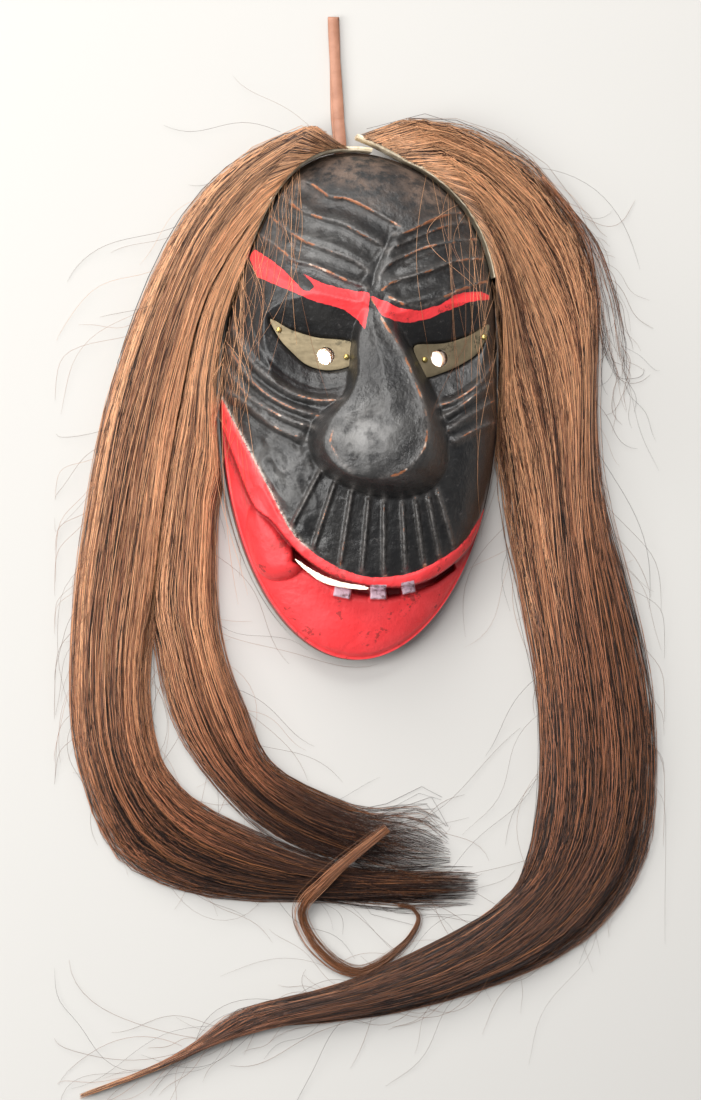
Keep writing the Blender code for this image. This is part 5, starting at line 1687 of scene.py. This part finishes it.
class MaskStudioSettings(bpy.types.PropertyGroup):
    """Floor, lights and camera."""

    floor_colour: FloatVectorProperty(
        name="Floor", description="Colour of the paper floor", subtype="COLOR", default=(0.53, 0.52, 0.50)
    )
    light: FloatProperty(
        name="Light", description="Strength of all the lamps together", default=1.0, min=0.0
    )
    distance: FloatProperty(
        name="Camera distance", description="From the camera to the mask", default=2.4, unit="LENGTH"
    )
    frame_height: FloatProperty(
        name="Framed height", description="Height that the picture takes in", default=0.605, unit="LENGTH"
    )


# Operators.

class MASK_OT_face(bpy.types.Operator):
    """Carves and paints the wooden face"""

    bl_idname = "mask.face"
    bl_label = "Carved Face"

    def execute(self, context):
        material = painted_wood(context.scene.mask_finish)
        points, faces = face_mesh()
        face = new_piece("carved_face", points, faces, material, ("mask",))
        face_outward(face.data)
        mouth = curve_through(MOUTH_HOLE, 3, closed=True)
        tools = [drill_for(eye) for eye in EYES.values()]
        tools.append(make_cutter("mouth", mouth, EDGE_HEIGHT, DRAWN_DEPTH))
        cut_away(face, tools)
        face.data.shade_smooth()
        mark_face(face.data)
        return {"FINISHED"}


class MASK_OT_eyes(bpy.types.Operator):
    """Lays the sheet-metal eyes in their sockets and tacks them down"""

    bl_idname = "mask.eyes"
    bl_label = "Metal Eyes"

    def execute(self, context):
        sheet = tarnished_sheet(context.scene.mask_finish)
        brass = worn_brass(context.scene.mask_finish)
        for side, eye in EYES.items():
            points, faces = plate_mesh(eye)
            node = f"eye_plate_{side}"
            plate = new_piece(f"sheet_eye_{side}", points, faces, sheet, (node,))
            face_outward(plate.data)
            cut_away(plate, [drill_for(eye)])
            plate.data.shade_smooth()
            plate.data.set_sharp_from_angle(angle=math.radians(40))
            for number, place in enumerate(eye[4], start=1):
                points, faces = tack_mesh(eye, place)
                name = f"tack_{side}_{number}"
                tack = new_piece("head_of_" + name, points, faces, brass, (name,))
                face_outward(tack.data)
        return {"FINISHED"}


class MASK_OT_hide(bpy.types.Operator):
    """Bends the rawhide strips round the forehead"""

    bl_idname = "mask.hide"
    bl_label = "Rawhide Strips"

    def execute(self, context):
        material = dry_hide(context.scene.mask_finish)
        for side, ends, stands_off, seed in (
            ("left", LEFT_STRIP, False, 41), ("right", RIGHT_STRIP, True, 47)
        ):
            points, faces = strip_mesh(*ends, stands_off, seed)
            strip = new_piece(f"rawhide_{side}", points, faces, material, (f"hide_strip_{side}",))
            face_outward(strip.data)
            strip.data.set_sharp_from_angle(angle=math.radians(50))
        return {"FINISHED"}


class MASK_OT_lace(bpy.types.Operator):
    """Lays out the folded hanging lace"""

    bl_idname = "mask.lace"
    bl_label = "Hanging Lace"

    def execute(self, context):
        material = tan_leather(context.scene.mask_finish)
        points, faces, rubbed, knot_at = lace_mesh()
        lace = new_piece("leather_lace", points, faces, material, ("hanging_lace",))
        store(lace.data, "rubbed", rubbed)
        face_outward(lace.data)
        shape = bmesh.new()
        bmesh.ops.create_icosphere(shape, subdivisions=3, radius=KNOT_RADIUS * MM)
        for vertex in shape.verts:
            vertex.co *= 1 + 0.10 * math.sin(vertex.co.x * 900) * math.cos(vertex.co.y * 800)
            vertex.co += Vector(knot_at)
        points = np.array([tuple(v.co) for v in shape.verts])
        faces = [tuple(v.index for v in f.verts) for f in shape.faces]
        shape.free()
        new_piece("leather_knot", points, faces, material)
        return {"FINISHED"}


class MASK_OT_hair(bpy.types.Operator):
    """Grows every lock of hair: its dense body and its loose hairs"""

    bl_idname = "mask.hair"
    bl_label = "Horsehair"

    def execute(self, context):
        settings = context.scene.mask_hair
        dense = hair_material("Horsehair body", settings, True)
        loose = hair_material("Horsehair strands", settings, False)
        locks = all_locks()
        self.bodies(locks, dense)
        self.strands(locks, settings, loose)
        self.flyaways(locks, loose)
        for side, count, seed in OVER_FACE:
            ways = hairs_over_face(side, count, seed)
            hairs_piece(f"hairs_over_{side}_edge", *ways, OVER_FACE_RADIUS, seed + 1, loose)
        self.loop(loose)
        return {"FINISHED"}

    def bodies(self, locks, material):
        """The dense body of each lock that grows from a hide strip."""
        for name, lock in locks.items():
            if not lock.rooted:
                continue
            points, faces, marks = core_mesh(lock)
            body = new_piece(name + "_body", points, faces, material, (name,))
            for key, values in marks.items():
                store(body.data, key, values)
            face_outward(body.data)

    def strands(self, locks, settings, material):
        """The hairs that lie along each lock."""
        for name, letter, share, seed in FULL_PIECES:
            count = int(settings.per_piece * share)
            add_strands(f"{name}_hairs_{letter}", locks[name], count, seed, settings.thickness, material)
        count = int(STRAY_SHARE * settings.per_piece)
        stray = strand_paths(locks["hair_right_stray"], count, 106, 24, STRAY_SPREAD)
        radius = 0.65 * settings.thickness
        hairs_piece("stray_hairs", *stray, radius, 107, material, ("hair_right_stray",))

    def flyaways(self, locks, material):
        """The hairs that fly off each lock, and those that cross over its others."""
        for name, count, seed, longest in FLYAWAYS:
            ways = flyaway_paths(locks[name], count, seed, longest)
            hairs_piece(f"{name}_flyaways", *ways, FLYAWAY_RADIUS, seed + 1, material)
            if not locks[name].rooted:
                continue
            paths, fade, tone, rusty = strand_paths(locks[name], count // 2, seed + 10, 30, 0.25)
            paths[..., 2] += 1.4 * MM
            tone = 0.25 + 0.75 * tone
            hairs_piece(f"{name}_crossing", paths, fade, tone, rusty, CROSSING_RADIUS, seed + 11, material)

    def loop(self, material):
        """The thin strand that strays from the left locks and curls back."""
        route = curve_through(LOOP_ROUTE, 5)
        steps = len(route)
        rng = np.random.default_rng(301)
        count = LOOP_HAIRS
        share = np.linspace(0, 1, steps)
        offset = rng.normal(0, 0.95, (count, 2))
        wave = 1.0 * np.sin(share[None, :] * 9 + rng.uniform(0, 6, count)[:, None])
        ahead = np.gradient(route[:, :2], axis=0)
        ahead /= np.linalg.norm(ahead, axis=1, keepdims=True)
        across = (offset[:, :1] + wave) * (1 + 0.6 * np.sin(share * 5)[None, :])
        x = route[None, :, 0] - across * ahead[None, :, 1]
        y = route[None, :, 1] + across * ahead[None, :, 0]
        z = np.maximum(route[None, :, 2] + 0.7 * offset[:, 1:] - 0.6, 0.35)
        paths = to_real(x, y, z, False)
        fade = np.interp(share, (0, 0.35, 0.6, 1), (0.40, 0.60, 0.85, 1.0))[None, :]
        tone = rng.uniform(0.1, 0.95, count)
        rusty = np.full(count, 0.4)
        node = ("hair_loop_strand",)
        hairs_piece("hair_loop_hairs", paths, fade, tone, rusty, LOOP_RADIUS, 302, material, node)


class MASK_OT_stage(bpy.types.Operator):
    """Sets the floor, the lights and the camera"""

    bl_idname = "mask.stage"
    bl_label = "Studio"

    def execute(self, context):
        settings = context.scene.mask_studio
        self.floor(context, settings)
        self.lights(context, settings)
        self.camera(context, settings)
        context.scene.view_settings.view_transform = "Standard"
        return {"FINISHED"}

    def floor(self, context, settings):
        """A sheet of pale paper under the mask."""
        half, level = FLOOR_HALF, -0.0002
        points = [(-half, -half, level), (half, -half, level), (half, half, level), (-half, half, level)]
        mesh = bpy.data.meshes.new("paper_floor")
        mesh.from_pydata(points, [], [(0, 1, 2, 3)])
        mesh.materials.append(studio_floor(settings))
        floor = bpy.data.objects.new("paper_floor", mesh)
        context.scene.collection.objects.link(floor)

    def lights(self, context, settings):
        """Soft lamps from above and both sides, and a small one under the mask."""
        plan = (
            ("key", (-0.52, 1.70, 1.44), (1.55, 1.4), 52.0, (1.0, 0.985, 0.96)),
            ("left", (-1.40, -0.15, 1.05), (0.9, 1.0), 25.0, (1.0, 0.99, 0.97)),
            ("overhead", (-0.62, 0.62, 2.45), (0.8, 0.8), 30.0, (1.0, 0.99, 0.98)),
            ("right", (1.4, 0.5, 1.3), (0.7, 0.9), 2.5, (0.98, 0.99, 1.0)),
        )
        for name, place, (wide, tall), power, colour in plan:
            light = bpy.data.lights.new(name, "AREA")
            light.shape = "RECTANGLE"
            light.size, light.size_y = wide, tall
            light.energy = power * settings.light
            light.color = colour
            lamp = bpy.data.objects.new(name, light)
            lamp.location = place
            lamp.rotation_euler = (-Vector(place)).to_track_quat("-Z", "Y").to_euler()
            context.scene.collection.objects.link(lamp)
        light = bpy.data.lights.new("under_mask", "POINT")
        light.energy = 1.2 * settings.light
        light.color = (0.9, 0.95, 1.0)
        light.shadow_soft_size = 0.01
        lamp = bpy.data.objects.new("under_mask", light)
        lamp.location = to_real(*UNDER_MASK, False)
        lamp.visible_camera = False
        context.scene.collection.objects.link(lamp)
        world = bpy.data.worlds.new("studio")
        world.use_nodes = True
        background = world.node_tree.nodes["Background"]
        background.inputs["Color"].default_value = (0.95, 0.96, 1.0, 1)
        background.inputs["Strength"].default_value = 0.24 * settings.light
        context.scene.world = world

    def camera(self, context, settings):
        """The camera looks down on the mask, from a little to its left."""
        target = Vector(to_real(*PICTURE_MIDDLE, EDGE_HEIGHT, False))
        toward = Vector((-LEAN_ACROSS, -LEAN_UP, 1.0)).normalized()
        data = bpy.data.cameras.new("picture")
        data.sensor_fit = "VERTICAL"
        data.sensor_height = 36.0
        data.lens = data.sensor_height * settings.distance / settings.frame_height
        camera = bpy.data.objects.new("picture", data)
        camera.location = target + toward * settings.distance
        camera.rotation_euler = (math.atan(LEAN_UP), -math.atan(LEAN_ACROSS), 0.0)
        context.scene.collection.objects.link(camera)
        context.scene.camera = camera


class MASK_PT_panel(bpy.types.Panel):
    """Lists the steps and their settings"""

    bl_label = "Mask"
    bl_space_type = "VIEW_3D"
    bl_region_type = "UI"
    bl_category = "Mask"

    def draw(self, context):
        for group in ("mask_finish", "mask_hair", "mask_studio"):
            settings = getattr(context.scene, group)
            for name in settings.__annotations__:
                self.layout.prop(settings, name)
        for operator in OPERATORS:
            self.layout.operator(operator.bl_idname)


OPERATORS = (MASK_OT_stage, MASK_OT_face, MASK_OT_eyes, MASK_OT_hide, MASK_OT_lace, MASK_OT_hair)
CLASSES = (MaskFinishSettings, MaskHairSettings, MaskStudioSettings, *OPERATORS, MASK_PT_panel)


def register():
    for made in CLASSES:
        bpy.utils.register_class(made)
    bpy.types.Scene.mask_finish = PointerProperty(type=MaskFinishSettings)
    bpy.types.Scene.mask_hair = PointerProperty(type=MaskHairSettings)
    bpy.types.Scene.mask_studio = PointerProperty(type=MaskStudioSettings)


def unregister():
    del bpy.types.Scene.mask_studio
    del bpy.types.Scene.mask_hair
    del bpy.types.Scene.mask_finish
    for made in reversed(CLASSES):
        bpy.utils.unregister_class(made)


def main():
    register()
    bpy.ops.mask.stage()
    bpy.ops.mask.face()
    bpy.ops.mask.eyes()
    bpy.ops.mask.hide()
    bpy.ops.mask.lace()
    bpy.ops.mask.hair()
    bpy.context.view_layer.update()


if __name__ == "__main__":
    main()
